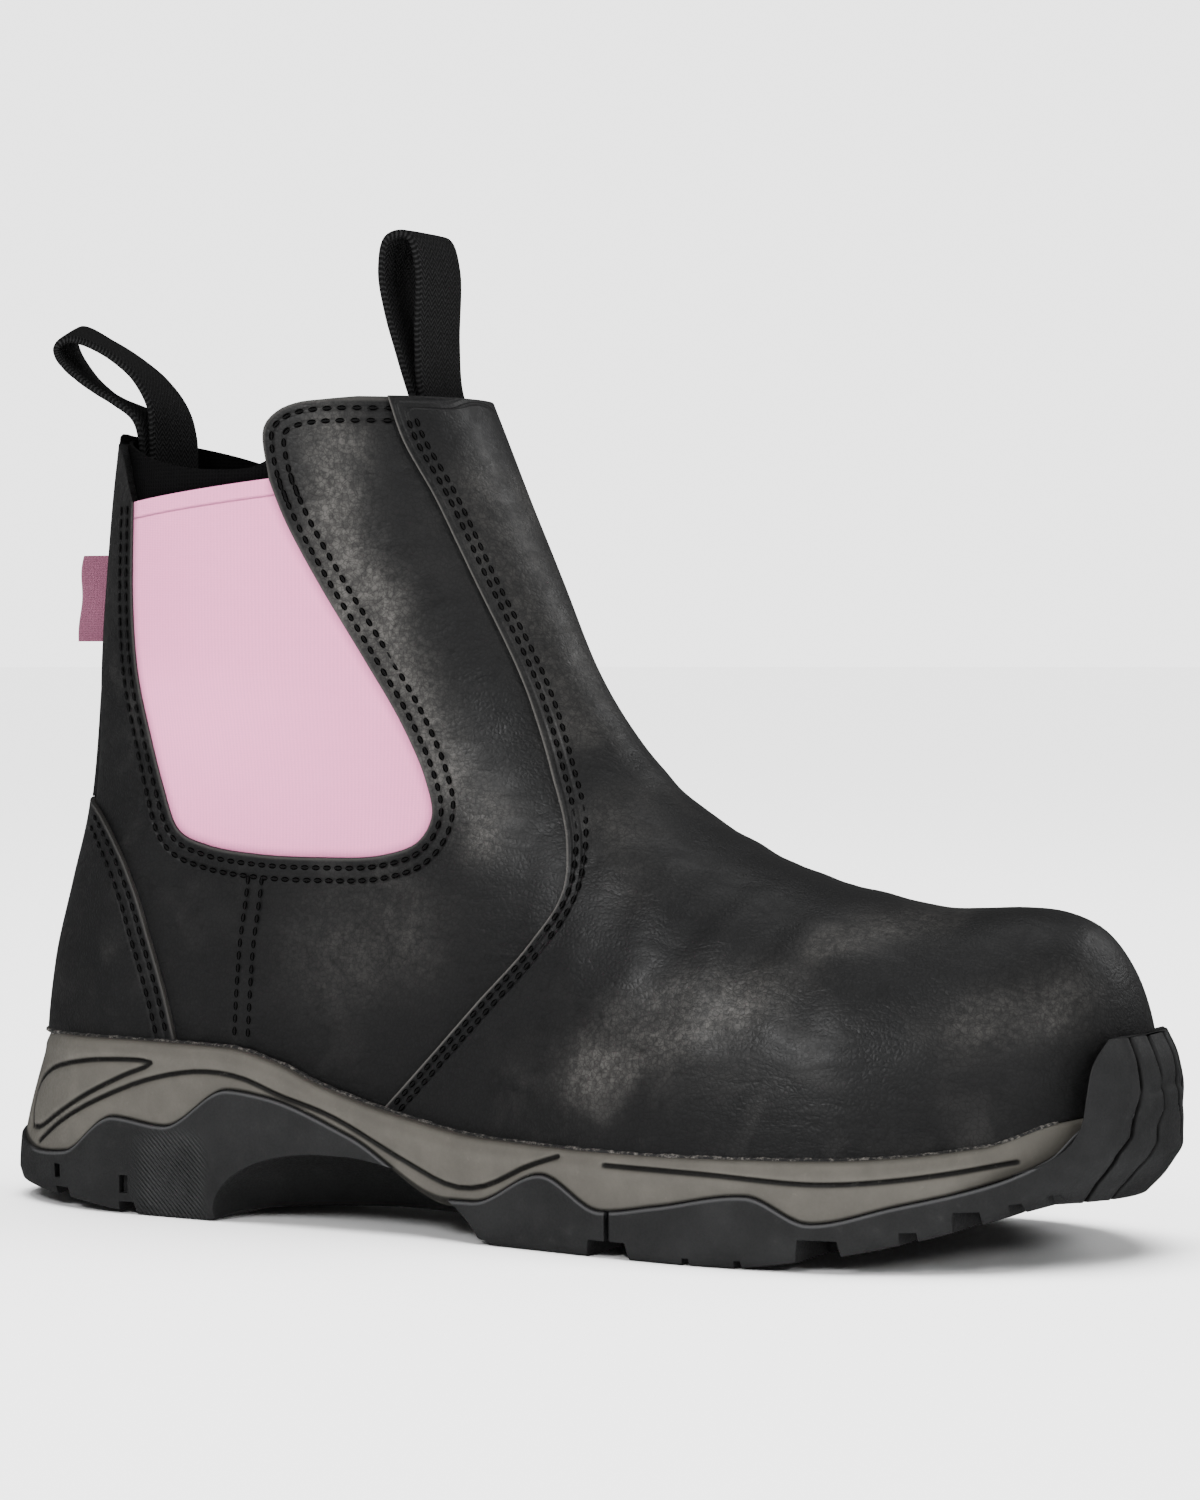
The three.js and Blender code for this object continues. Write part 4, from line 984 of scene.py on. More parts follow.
class BootLeather(bpy.types.PropertyGroup):
    """Colours and stitching of the leather."""

    leather_colour: bpy.props.FloatVectorProperty(
        name="Leather", description="Colour of the oiled leather", subtype="COLOR",
        size=3, min=0, max=1, default=(0.0094, 0.0095, 0.0098))
    # burnish of rubbed leather, also the colour of the painted highlight on rubbed patches and along ply
    # edges
    burnish_and_highlight_colour: bpy.props.FloatVectorProperty(
        name="Burnish", description="Colour where the leather is rubbed", subtype="COLOR",
        size=3, min=0, max=1, default=(0.084, 0.08, 0.075))
    leather_roughness: bpy.props.FloatProperty(
        name="Roughness", description="Roughness of the leather", subtype="FACTOR",
        min=0, max=1, default=0.42)
    grain: bpy.props.FloatProperty(
        name="Grain", description="Strength of the pebbled grain", subtype="FACTOR",
        min=0, max=1, default=0.5)
    thread_colour: bpy.props.FloatVectorProperty(
        name="Thread", description="Colour of the sewing thread", subtype="COLOR",
        size=3, min=0, max=1, default=(0.0045, 0.0045, 0.0046))
    stitch_pitch: bpy.props.FloatProperty(
        name="Stitch pitch", description="Distance from one stitch to the next, in millimetres",
        min=1.5, max=6, default=2.9)
    first_row: bpy.props.FloatProperty(
        name="First row", description="Distance of the first stitch row from an edge, in millimetres",
        min=1, max=8, default=2.3)
    second_row: bpy.props.FloatProperty(
        name="Second row", description="Distance of the second stitch row from an edge, in millimetres",
        min=2, max=12, default=5.2)


class BootTrim(bpy.types.PropertyGroup):
    """Colours of the elastic, webbing and tab."""

    gore_colour: bpy.props.FloatVectorProperty(
        name="Gore", description="Colour of the elastic gores", subtype="COLOR",
        size=3, min=0, max=1, default=(0.97, 0.31, 0.565))
    hem_height: bpy.props.FloatProperty(
        name="Hem", description="Height of the gore's folded top edge, in millimetres",
        min=1, max=8, default=3.4)
    tab_colour: bpy.props.FloatVectorProperty(
        name="Tab", description="Colour of the tab at the back", subtype="COLOR",
        size=3, min=0, max=1, default=(0.21, 0.074, 0.12))
    webbing_colour: bpy.props.FloatVectorProperty(
        name="Webbing", description="Colour of the pull loops", subtype="COLOR",
        size=3, min=0, max=1, default=(0.0092, 0.0092, 0.0094))
    lining_colour: bpy.props.FloatVectorProperty(
        name="Lining", description="Colour of the lining", subtype="COLOR",
        size=3, min=0, max=1, default=(0.0035, 0.0035, 0.0037))


class BootSole(bpy.types.PropertyGroup):
    """Colours and relief of the sole."""

    midsole_colour: bpy.props.FloatVectorProperty(
        name="Midsole", description="Colour of the midsole", subtype="COLOR",
        size=3, min=0, max=1, default=(0.088, 0.082, 0.07))
    rubber_colour: bpy.props.FloatVectorProperty(
        name="Outsole", description="Colour of the outsole's rubber", subtype="COLOR",
        size=3, min=0, max=1, default=(0.0172, 0.0175, 0.018))
    groove_depth: bpy.props.FloatProperty(
        name="Groove depth", description="Depth of the midsole's grooves, in millimetres",
        min=0, max=2, default=0.8)


class BootStage(bpy.types.PropertyGroup):
    """Camera and light."""

    azimuth: bpy.props.FloatProperty(
        name="Azimuth", description="Camera's turn about the boot, in degrees", default=26.5)
    elevation: bpy.props.FloatProperty(
        name="Elevation", description="Camera's height angle, in degrees", default=1.4)
    distance: bpy.props.FloatProperty(
        name="Distance", description="Camera's distance from its target", unit="LENGTH", default=0.9488)
    target: bpy.props.FloatVectorProperty(
        name="Target", description="Point that the camera looks at", subtype="XYZ", unit="LENGTH",
        size=3, default=(0.0093, -0.0007, 0.1094))
    lens: bpy.props.FloatProperty(
        name="Lens", description="Focal length in millimetres", default=98.88)
    fill_light: bpy.props.FloatProperty(
        name="Fill light", description="Strength of the even light from all around", min=0, default=0.14)
    floor_light: bpy.props.FloatProperty(
        name="Floor light", description="Strength of the overhead light on the floor alone",
        min=0, default=10)
    backdrop_light: bpy.props.FloatProperty(
        name="Backdrop", description="Brightness of the backdrop behind the floor", min=0, default=3.1)
    floor_colour: bpy.props.FloatVectorProperty(
        name="Floor", description="Colour of the floor", subtype="COLOR",
        size=3, min=0, max=1, default=(0.93, 0.93, 0.93))


GORE_LINE = smooth_line(place(GORE_OUTLINE), 220)
VAMP_LINE = smooth_line(place(VAMP_SEAM), 200)
COUNTER_LINE = smooth_line(place(COUNTER_SEAM), 120)
SIDE_SEAM_LINE = smooth_line(place(SIDE_SEAM), 50)


def collar_line(start, end, count=90):
    """The collar's edge in side view between two shares of its length."""
    t = np.linspace(start, end, count)
    x, z = row_point(t, np.ones_like(t))
    return np.stack([x, z], 1)


def wing_line():
    """Edge of the front wing, up from the gore and along the collar to the front."""
    corner = np.vstack([place(GORE_OUTLINE[-2:]), place(WING_TOP[:-1])])
    return smooth_line(np.vstack([corner, collar_line(0.83, 0.92, 4)]), 120)


def seam_distance(obj, lines):
    """Distance of a piece's vertices to the nearest seam, in millimetres of the side view."""
    points = drawn_points(obj)
    return nearest_line(points[:, 0], points[:, 2], [line[::3] for line in lines], 1e3)


def vamp_spread(z):
    """How far apart the vamp's rows of stitches stand in the side view, as a share."""
    return mix(0.66, 0.4, smooth_step(0.45, 0.8, z / COLLAR_HEIGHT))


def rim_outline(start, end):
    """Foot of a ply that covers the upper down to the sole's rim."""
    x = np.linspace(start, end, 70)
    return np.stack([x, rim_at(x) + PLY_FOOT_LIFT], 1)


def cut_at_rim(line, lift):
    """A seam's part above the sole's rim."""
    above = line[:, 1] - rim_at(line[:, 0]) - lift
    last = int(np.argmax(above < 0))
    share = above[last - 1] / (above[last - 1] - above[last])
    return np.vstack([line[:last], mix(line[last - 1], line[last], share)])


def dress_leather(obj, seam_mm, skin, node, edge_highlight=0.45):
    """Paints a leather piece's rubbed places with their painted highlight and its seams, with painted
    highlight along its edges, and gives it its skin.
    """
    paint(obj, "rubbed_highlight", rubbing_and_highlight(obj))
    paint(obj, "seam_mm", seam_mm)
    settings = bpy.context.scene.boot_leather
    finish_piece(obj, leather_surface(skin, settings, edge_highlight), [node])


class BOOT_OT_leather(bpy.types.Operator):
    """Build the upper, the vamp, the heel counter and the back strip"""

    bl_idname = "boot.leather"
    bl_label = "Leather"

    def execute(self, context):
        form = Form()
        strip = place(STRIP_TOP)
        wing = smooth_line(np.vstack([place(GORE_OUTLINE[-1:]), place(WING_TOP)]), 24)[1:]
        window = np.vstack([
            [(strip[0][0], OPEN_TOP)], strip, GORE_LINE, wing, [(wing[-1][0], OPEN_TOP)]])
        upper = form.shell("upper_leather", *UPPER_FACES)
        trim(upper, prism("window", window), "DIFFERENCE")
        dress_leather(upper, seam_distance(upper, [GORE_LINE, wing_line()]), "upper_leather", "upper")

        cut = cut_at_rim(VAMP_LINE, PLY_FOOT_LIFT)
        front = SOLE_LENGTH + 10
        region = np.vstack([
            cut, rim_outline(cut[-1][0], front)[1:], [(front, OPEN_TOP)], [(cut[0][0], OPEN_TOP)]])
        vamp = form.shell("vamp_leather", *OVERLAY_FACES)
        trim(vamp, prism("vamp_region", region), "INTERSECT")
        seam = seam_distance(vamp, [VAMP_LINE, collar_line(0.9, 1)])
        seam /= vamp_spread(drawn_points(vamp)[:, 2])
        # full painted highlight along the vamp's edge
        dress_leather(vamp, seam, "vamp_leather", "vamp_overlay", edge_highlight=1.0)

        cut = cut_at_rim(COUNTER_LINE, PLY_FOOT_LIFT)[::-1]
        back = -10
        region = np.vstack([rim_outline(back, cut[0][0])[:-1], cut, [(back, cut[-1][1])]])
        counter = form.shell("heel_counter_leather", *COUNTER_FACES)
        trim(counter, prism("counter_region", region), "INTERSECT")
        dress_leather(counter, seam_distance(counter, [COUNTER_LINE]), "counter_leather", "heel_counter")

        foot = COUNTER_SEAM[0][1] * COLLAR_HEIGHT + PLY_FOOT_LIFT
        strip = form.shell("back_strip_leather", *OVERLAY_FACES)
        region = block("strip_region", (back, -STRIP_HALF_WIDTH, foot),
                       (STRIP_REACH, STRIP_HALF_WIDTH, OPEN_TOP))
        trim(strip, region, "INTERSECT")
        seam = STRIP_HALF_WIDTH - np.abs(drawn_points(strip)[:, 1])
        # no painted highlight along the strip's edges
        dress_leather(strip, seam, "strip_leather", "back_strip", edge_highlight=0.0)
        return {"FINISHED"}


class BOOT_OT_gores(bpy.types.Operator):
    """Build the elastic gores and the lining behind them"""

    bl_idname = "boot.gores"
    bl_label = "Gores and lining"

    def execute(self, context):
        settings = context.scene.boot_trim
        form = Form()
        line = GORE_LINE
        hem = np.vstack([line[0], line[-1]])
        panel = shift_line(line, 0.12)
        panel[0] = line[0] + (0.12, 0.4)
        panel[-1] = line[-1] + (-0.12, 0.4)
        for side, name in ((NEAR, "gore_outer"), (FAR, "gore_inner")):
            gore = form.shell(name + "_elastic", *GORE_FACES, folds=0.3)
            trim(gore, prism("panel", panel, *sorted((side, side * SIDE_REACH))), "INTERSECT")
            points = drawn_points(gore)
            paint(gore, "hem_mm", distance_to_line(points[:, 0], points[:, 2], hem))
            paint(gore, "rim_mm", distance_to_line(points[:, 0], points[:, 2], line[::2]))
            finish_piece(gore, elastic_surface(name + "_elastic", settings), [name])
        wing = place(WING_TOP)
        edge = smooth_line(BINDING_TOP, 40)
        notch = np.vstack([[(edge[0][0], OPEN_TOP)], edge, wing, [(wing[-1][0], OPEN_TOP)]])
        lining = form.shell("collar_lining", *LINING_FACES, folds=0)
        trim(lining, prism("notch", notch), "DIFFERENCE")
        foot = block("floor_cut", (-20, -SIDE_REACH, 0), (320, SIDE_REACH, LINING_FOOT))
        trim(lining, foot, "DIFFERENCE")
        cloth = cloth_surface("lining_cloth", settings.lining_colour, 0.9, 0.0)
        finish_piece(lining, cloth)
        return {"FINISHED"}


def sole_edge(t, side):
    """The sole's edge in plan at shares of its length."""
    table = table_curve(SOLE_OUTER_HALF if side < 0 else SOLE_INNER_HALF)
    half = table(t) * SOLE_WIDTH / 2
    round_off = nose(t, SOLE_NOSES[0]) * nose(1 - t, SOLE_NOSES[1])
    tip = SOLE_TIP_SIDE * SOLE_WIDTH / 2
    middle = tip * (1 - round_off) * smooth_step(0.5, 1, t)
    return np.stack([t * SOLE_LENGTH, side * half * round_off + middle], -1)


def edge_y(share, side):
    return float(sole_edge(np.array(share), side)[1])


def sole_plan(count):
    """The sole's edge all round in plan, and its direction at each point."""
    t = spaced_shares(count, 0.3)
    edge = np.vstack([sole_edge(t, NEAR), sole_edge(t[1:-1][::-1], FAR)])
    return edge, unit(np.roll(edge, -1, 0) - np.roll(edge, 1, 0))


def flare_at(x, z):
    """How far the heel reaches back below the rim."""
    return HEEL_FLARE * (1 - sole_step(0, 0.1, x)) * np.clip(1 - z / RIM_HEIGHT, 0, 1)


def push_in(ring, along, depth):
    """Sinks a ring's points into the sole, square to its edge."""
    ring[:, 0] -= along[:, 1] * depth
    ring[:, 1] += along[:, 0] * depth


def sole_ring(plan, inset, height):
    """Ring of the sole's plan moved inwards, at heights that follow its length."""
    edge, along = plan
    inset = inset(edge[:, 0]) if callable(inset) else inset
    x = edge[:, 0] - along[:, 1] * inset
    y = edge[:, 1] + along[:, 0] * inset
    z = height(x) if callable(height) else np.broadcast_to(height, x.shape)
    return np.stack([x - flare_at(x, z), y, z], -1)


class BOOT_OT_midsole(bpy.types.Operator):
    """Build the midsole with its moulded grooves"""

    bl_idname = "boot.midsole"
    bl_label = "Midsole"

    def execute(self, context):
        settings = context.scene.boot_sole
        plan = sole_plan(560)
        lines = [smooth_line(g, 90)[::2] for g in (LEAF_GROOVE, ARCH_GROOVE, FOREFOOT_GROOVE)]

        def side_inset(x):
            return FOAM_INSET + (FOAM_CORE_INSET - FOAM_INSET) * sole_step(0.88, 0.935, x)

        def heel_lean(x):
            return FOAM_HEEL_LEAN * (1 - sole_step(0.02, 0.11, x))

        def ledge(x):
            return np.minimum(outsole_top_at(x) + 0.12, rim_at(x) - 1)

        rings = [sole_ring(plan, FOAM_CORE_INSET, lambda x: ledge(x) - 2),
                 sole_ring(plan, FOAM_CORE_INSET, ledge)]
        plain = np.full(len(plan[0]), NO_GROOVE)
        grooves = [plain] * 2
        for share in np.arange(35) / 34:
            ring = sole_ring(plan, lambda x: side_inset(x) + share ** 1.5 * heel_lean(x),
                             lambda x: mix(ledge(x), rim_at(x) - 0.9, share))
            x, z = ring[:, 0], ring[:, 2]
            depth = nearest_line(x, z, lines, NO_GROOVE)
            swell = 0.35 * np.exp(-(((z - rim_at(x) + 3.2) / 1.6) ** 2))
            sink = settings.groove_depth * np.exp(-((depth / GROOVE_WIDTH) ** 2)) - swell
            fade = 1 - sole_step(0.9, 0.94, x)
            push_in(ring, plan[1], sink * fade)
            rings.append(ring)
            grooves.append(np.where(fade > 0.2, depth, NO_GROOVE))
        for inset, drop in FOAM_RIM:
            rings.append(sole_ring(plan, lambda x: side_inset(x) + heel_lean(x) + inset,
                                   lambda x: rim_at(x) - drop))
            grooves.append(plain)
        rings.append(sole_ring(plan, FOAM_CUP_INSET, lambda x: rim_at(x) - 0.2))
        rings.append(sole_ring(plan, FOAM_CUP_INSET, lambda x: rim_at(x) - 3))
        grooves += [plain] * 2
        midsole = loft("midsole_foam", np.array(rings), capped=True)
        # distance to the grooves, for their painted shade
        paint(midsole, "groove_mm", np.concatenate(grooves))
        points = drawn_points(midsole)
        # height above the outsole's top, for the painted shade at the midsole's foot
        paint(midsole, "seat_mm", points[:, 2] - outsole_top_at(points[:, 0]))
        finish_piece(midsole, foam_surface(settings), ["midsole"], crisp=50)
        return {"FINISHED"}


def ellipsoid(name, centre, radii, lean):
    """Closed ball stretched along each axis and leaning along X as it rises."""
    turn = np.linspace(0, 2 * np.pi, ROUND, endpoint=False)
    rings = []
    for up in np.linspace(-80, 80, 33):
        z = math.sin(math.radians(up))
        r = math.cos(math.radians(up))
        x = np.cos(turn) * r - lean * z * radii[2] / radii[0]
        rings.append(np.stack([
            centre[0] + radii[0] * x,
            centre[1] + radii[1] * np.sin(turn) * r,
            np.full(ROUND, centre[2] + radii[2] * z)], -1))
    return loft(name, np.array(rings), capped=True)


def tread_bar(x, margin, lean):
    """Cutter for one channel that crosses the tread in a shallow V."""
    near, far = edge_y(x / SOLE_LENGTH, NEAR) + margin, edge_y(x / SOLE_LENGTH, FAR) - margin
    top = float(ground_at(x)) + BAR_DEPTH
    wide, slim = BAR_HALF_WIDTHS
    points = []
    for y, at in ((near, x - lean), ((near + far) / 2, x + lean), (far, x - lean)):
        points += [(at - wide, y, CUT_FOOT), (at + wide, y, CUT_FOOT), (at + slim, y, top),
                   (at - slim, y, top)]
    faces = [[3, 2, 1, 0], [8, 9, 10, 11]]
    for r in (0, 4):
        for k in range(4):
            faces.append([r + k, r + (k + 1) % 4, r + 4 + (k + 1) % 4, r + 4 + k])
    return piece("tread_bar", points, faces)


def groove_place(groove, z):
    """Where one of the bumper's grooves runs at a height, along the edge from the toe's tip."""
    rows = np.array(groove[::-1], float)
    return np.interp(z, rows[:, 1], rows[:, 0])


class BOOT_OT_outsole(bpy.types.Operator):
    """Build the rubber outsole with its arch, lugs, tread and bumper"""

    bl_idname = "boot.outsole"
    bl_label = "Outsole"

    def execute(self, context):
        settings = context.scene.boot_sole
        plan = sole_plan(460)

        def toe_bevel(x):
            return 1.2 + 6.3 * sole_step(0.9, 1, x)

        def low(x):
            rise = 2.5 + 2.5 * sole_step(0.92, 1, x)
            return np.minimum(ground_at(x) + rise, outsole_top_at(x) - 1.5)

        rings = [
            sole_ring(plan, lambda x: toe_bevel(x) + 0.5, ground_at),
            sole_ring(plan, toe_bevel, lambda x: ground_at(x) + 0.25),
            sole_ring(plan, lambda x: toe_bevel(x) * 0.3, low),
        ]
        for share in np.arange(1, 13) / 12:
            rings.append(sole_ring(
                plan, lambda x: toe_bevel(x) * 0.3 * (1 - share) ** 2,
                lambda x: mix(low(x), outsole_top_at(x) - 0.5, share)))
        for inset, drop in ((0.15, 0.15), (0.55, 0), (3.5, 0), (3.6, 1.2)):
            rings.append(sole_ring(plan, inset, lambda x: outsole_top_at(x) - drop))
        outsole = loft("outsole_rubber", np.array(rings), capped=True)
        for side in (NEAR, FAR):
            self.cut_side(outsole, side)
        for i, x in enumerate(TREAD_BARS + HEEL_BARS):
            margin = HEEL_MARGIN if x in HEEL_BARS else TREAD_MARGIN
            trim(outsole, tread_bar(x, margin, BAR_LEAN if i % 2 else -BAR_LEAN), "DIFFERENCE")
        points = drawn_points(outsole)
        x, z = points[:, 0], points[:, 2]
        hatch = smooth_step(44, 56, x) * (1 - smooth_step(62, 68, x)) * (1 - smooth_step(14, 22, z))
        paint(outsole, "groove_mm", np.full(len(points), NO_GROOVE))
        paint(outsole, "hatch", hatch)
        # depth below the outsole's top, for its painted highlight lip
        paint(outsole, "lip_mm", outsole_top_at(x) - z)
        rubber = rubber_surface("outsole_rubber", settings)
        finish_piece(outsole, rubber, ["outsole"], crisp=40)
        self.bumper(settings)
        return {"FINISHED"}

    def cut_side(self, outsole, side):
        """Cuts the arch's hollow and the notches and slits of one side."""
        centre = (ARCH_CENTRE[0], edge_y(ARCH_EDGE, side) + side * ARCH_CENTRE[1], ARCH_CENTRE[2])
        trim(outsole, ellipsoid("scoop", centre, ARCH_RADII, ARCH_LEAN), "DIFFERENCE")
        for start, end, depth, reach in LUG_NOTCHES:
            middle = (start + end) / 2
            edge = edge_y(middle / SOLE_LENGTH, side)
            top = float(ground_at(middle)) + depth
            slope = depth * 0.3
            outline = [(start - slope, CUT_FOOT), (end + slope, CUT_FOOT), (end - slope / 2, top),
                       (start + slope / 2, top)]
            sides = sorted((edge - side * reach, edge + side * CUT_REACH))
            trim(outsole, prism("notch", outline, *sides), "DIFFERENCE")
        for start, end, foot, top in SIDE_SLITS:
            edge = edge_y(start / SOLE_LENGTH, side)
            low, high = sorted((edge - side * SLIT_DEPTH, edge + side * CUT_REACH))
            trim(outsole, block("slit", (start, low, foot), (end, high, top)), "DIFFERENCE")

    def bumper(self, settings):
        """Rubber bumper over the toe, with two wavy upright grooves on each side."""
        stations = 700
        plan = sole_plan(stations)
        section = table_curve(BUMPER_SECTION)
        edge, along = plan
        steps = np.linalg.norm(np.roll(edge, -1, 0) - edge, axis=1)
        place_along = np.cumsum(steps) - steps
        place_along = place_along - place_along[stations]
        away = np.abs(place_along)
        rings = []
        for up in np.linspace(0.28, 1.0, 72):
            z = up * BUMPER_HEIGHT
            ring = sole_ring(plan, float(section(up)) * BUMPER_PLY, z)
            sink = np.zeros(len(edge))
            for groove in BUMPER_GROOVES:
                for side in (NEAR, FAR):
                    d = place_along + side * groove_place(groove, z)
                    sink += 1.2 * np.exp(-((d / GROOVE_WIDTH) ** 2))
                    sink -= 0.35 * np.exp(-(((d - side * 1.6) / 1.2) ** 2))
            sink += 0.5 * np.exp(-(((z - 38.5 + 0.12 * away) / 1.3) ** 2)) * (away < 14)
            push_in(ring, along, sink)
            rings.append(ring)
        bumper = loft("toe_bumper_rubber", np.array(rings), capped=True)
        rear = smooth_line(np.array(BUMPER_REAR) * (SOLE_LENGTH, BUMPER_HEIGHT), 20)
        front = SOLE_LENGTH + 14
        region = np.vstack([
            rear[::-1], [(rear[0][0], BUMPER_FOOT)], [(front, BUMPER_FOOT)], [(front, BUMPER_HEIGHT)]])
        trim(bumper, prism("bumper_region", region), "INTERSECT")
        trim(bumper, Form(120, 80).body("form", BUMPER_FORM_LIFT), "DIFFERENCE")
        nearest = KDTree(len(edge))
        for i, (x, y) in enumerate(edge):
            nearest.insert((x, y, 0), i)
        nearest.balance()
        points = drawn_points(bumper)
        at = np.array([place_along[nearest.find((x, y, 0))[1]] for x, y, z in points])
        groove_mm = np.full(len(points), NO_GROOVE)
        for groove in BUMPER_GROOVES:
            for side in (NEAR, FAR):
                d = np.abs(at + side * groove_place(groove, points[:, 2]))
                groove_mm = np.minimum(groove_mm, d)
        # distance to the grooves, for their painted shade
        paint(bumper, "groove_mm", groove_mm)
        paint(bumper, "hatch", np.zeros(len(points)))
        paint(bumper, "lip_mm", np.full(len(points), NO_GROOVE))
        rubber = rubber_surface("bumper_rubber", settings)
        finish_piece(bumper, rubber, crisp=40)


class BOOT_OT_insole(bpy.types.Operator):
    """Build the footbed"""

    bl_idname = "boot.insole"
    bl_label = "Insole"

    def execute(self, context):
        form = Form(120, 60)
        first = form.face(-LEATHER_WALL - 0.4)
        rings = []
        for height in (0.6, 4.6, 5.3):
            ring = first[0].copy()
            share = (cup_floor_at(ring[:, 0]) + height - ring[:, 2]) / (first[8][:, 2] - ring[:, 2])
            rings.append(mix(first[0], first[8], share[:, None]))
        middle = rings[-1].mean(0)
        rings[-1] = middle + (rings[-1] - middle) * (0.985, 0.97, 1)
        insole = loft("insole_cover", np.array(rings), capped=True)
        cloth = cloth_surface("footbed_cloth", FOOTBED_TONE, 1.2)
        finish_piece(insole, cloth, ["insole"])
        return {"FINISHED"}


def webbing_strip(name, rows, anchor, steps=150):
    """Flat woven strip bent along its line, with rounded borders and its own coordinates."""
    rows = np.array(rows, float)
    half = WEBBING_WIDTH / 2
    middle = np.stack([
        anchor[0] + rows[:, 0] * SOLE_LENGTH, np.zeros(len(rows)),
        anchor[1] + rows[:, 1] * COLLAR_HEIGHT], 1)
    across = np.stack([-rows[:, 2] * half, np.full(len(rows), half), -rows[:, 3] * half], 1)
    line = smooth_line(middle, steps)
    steps_at = np.linalg.norm(np.diff(middle, axis=0), axis=1)
    share = np.concatenate([[0], np.cumsum(steps_at)]) / steps_at.sum()
    wide = np.stack([np.interp(np.linspace(0, 1, steps), share, across[:, k]) for k in range(3)], 1)
    thick = unit(np.cross(np.gradient(line, axis=0), wide))
    profile = [(-1, -0.25), (-0.96, -0.5), (-0.5, -0.55), (0, -0.55), (0.5, -0.55), (0.96, -0.5),
               (1, -0.25), (1, 0.25), (0.96, 0.5), (0.5, 0.55), (0, 0.55), (-0.5, 0.55),
               (-0.96, 0.5), (-1, 0.25)]
    rings = np.stack([line + a * wide + b * WEBBING_PLY * thick for a, b in profile], 1)
    strip = loft(name, rings)
    size = len(profile)
    mesh = strip.data
    layer = mesh.uv_layers.new(name="strip")
    length = line_length(line)
    for polygon in mesh.polygons:
        for loop in polygon.loop_indices:
            vertex = mesh.loops[loop].vertex_index
            ring, k = divmod(vertex, size)
            layer.data[loop].uv = (profile[k][0] * half, ring / (steps - 1) * length)
    return strip


class BOOT_OT_loops(bpy.types.Operator):
    """Build the webbing loops and the tab at the back"""

    bl_idname = "boot.loops"
    bl_label = "Pull loops and tab"

    def execute(self, context):
        settings = context.scene.boot_trim
        webbing = webbing_surface(settings)
        front = (INSTEP_PROFILE[-1][0] * SOLE_LENGTH, COLLAR_HEIGHT)
        back = (BACK_PROFILE[-1][1] * SOLE_LENGTH, BACK_PROFILE[-1][0] * COLLAR_HEIGHT)
        for name, rows, anchor in (("front", FRONT_LOOP, front), ("back", BACK_LOOP, back)):
            strip = webbing_strip(name + "_loop_webbing", rows, anchor)
            finish_piece(strip, webbing, ["pull_loop_" + name], crisp=0)
        self.tab(settings)
        return {"FINISHED"}

    def tab(self, settings):
        """Small folded tab: two plies that part a little towards the fold."""
        rings = []
        for z in np.linspace(TAB_FOOT, TAB_TOP, TAB_ROWS):
            back = float(shaft_back(z)) - TAB_GAP
            share = (z - TAB_FOOT) / (TAB_TOP - TAB_FOOT)
            wave = 0.35 * math.sin(share * 7)
            reach = TAB_DEPTH + 0.4 * math.sin(share * 9)
            deep, half = TAB_CORNER
            outline = [(back, -0.7), (back - 5, -0.9 + wave * 0.5)]
            for angle in np.radians(np.linspace(-90, 90, 9)):
                outline.append((back - reach + deep - deep * math.cos(angle),
                                half * math.sin(angle) + wave))
            outline += [(back, 0.7), (back - 5, 0.55 + wave * 0.5)]
            rings.append([(x, y - 0.2, z) for x, y in outline])
        tab = loft("heel_tab_cloth", np.array(rings))
        size = len(rings[0])
        ends = [list(range(size))[::-1], [size * (TAB_ROWS - 1) + k for k in range(size)]]
        mesh = tab.data
        points = [tuple(v.co) for v in mesh.vertices]
        faces = [list(p.vertices) for p in mesh.polygons] + ends
        mesh.clear_geometry()
        mesh.from_pydata(points, [], faces)
        surface = cloth_surface("tab_cloth", settings.tab_colour, 0.42, 0.1)
        finish_piece(tab, surface, ["heel_tab"])


def stitch_mesh(rows, pitch, thick):
    """Points and faces of sewn stitches along rows of (line, side, lift)."""
    points, faces = [], []
    around = 6
    for line, side, lift in rows:
        length = line_length(line)
        count = max(int(length / pitch), 1)
        line = even_line(line, count * 8 + 1)
        at, normal = surface_point(line[:, 0], line[:, 1], side, lift)
        for i in range(count):
            a, b = at[8 * i + 1], at[8 * i + 7]
            up = normal[8 * i + 4]
            if not np.isfinite(a).all() or not np.isfinite(b).all() or abs(up[1]) < 0.08:
                continue
            along = b - a
            size = np.linalg.norm(along)
            if size > 1.6 * pitch:
                continue
            across = np.cross(up, along / size)
            base = len(points)
            for share, girth in STITCH_SECTIONS:
                arch = up * (0.22 * math.sin(math.pi * share) - 0.14)
                for k in range(around):
                    turn = 2 * math.pi * k / around
                    ring = across * math.cos(turn) + up * math.sin(turn)
                    points.append(a + along * share + arch + ring * thick * girth)
            for s in range(len(STITCH_SECTIONS) - 1):
                for k in range(around):
                    low, high = base + s * around, base + (s + 1) * around
                    faces.append([low + k, low + (k + 1) % around, high + (k + 1) % around, high + k])
            faces.append([base + k for k in range(around)][::-1])
            faces.append([base + 4 * around + k for k in range(around)])
    return np.array(points), faces


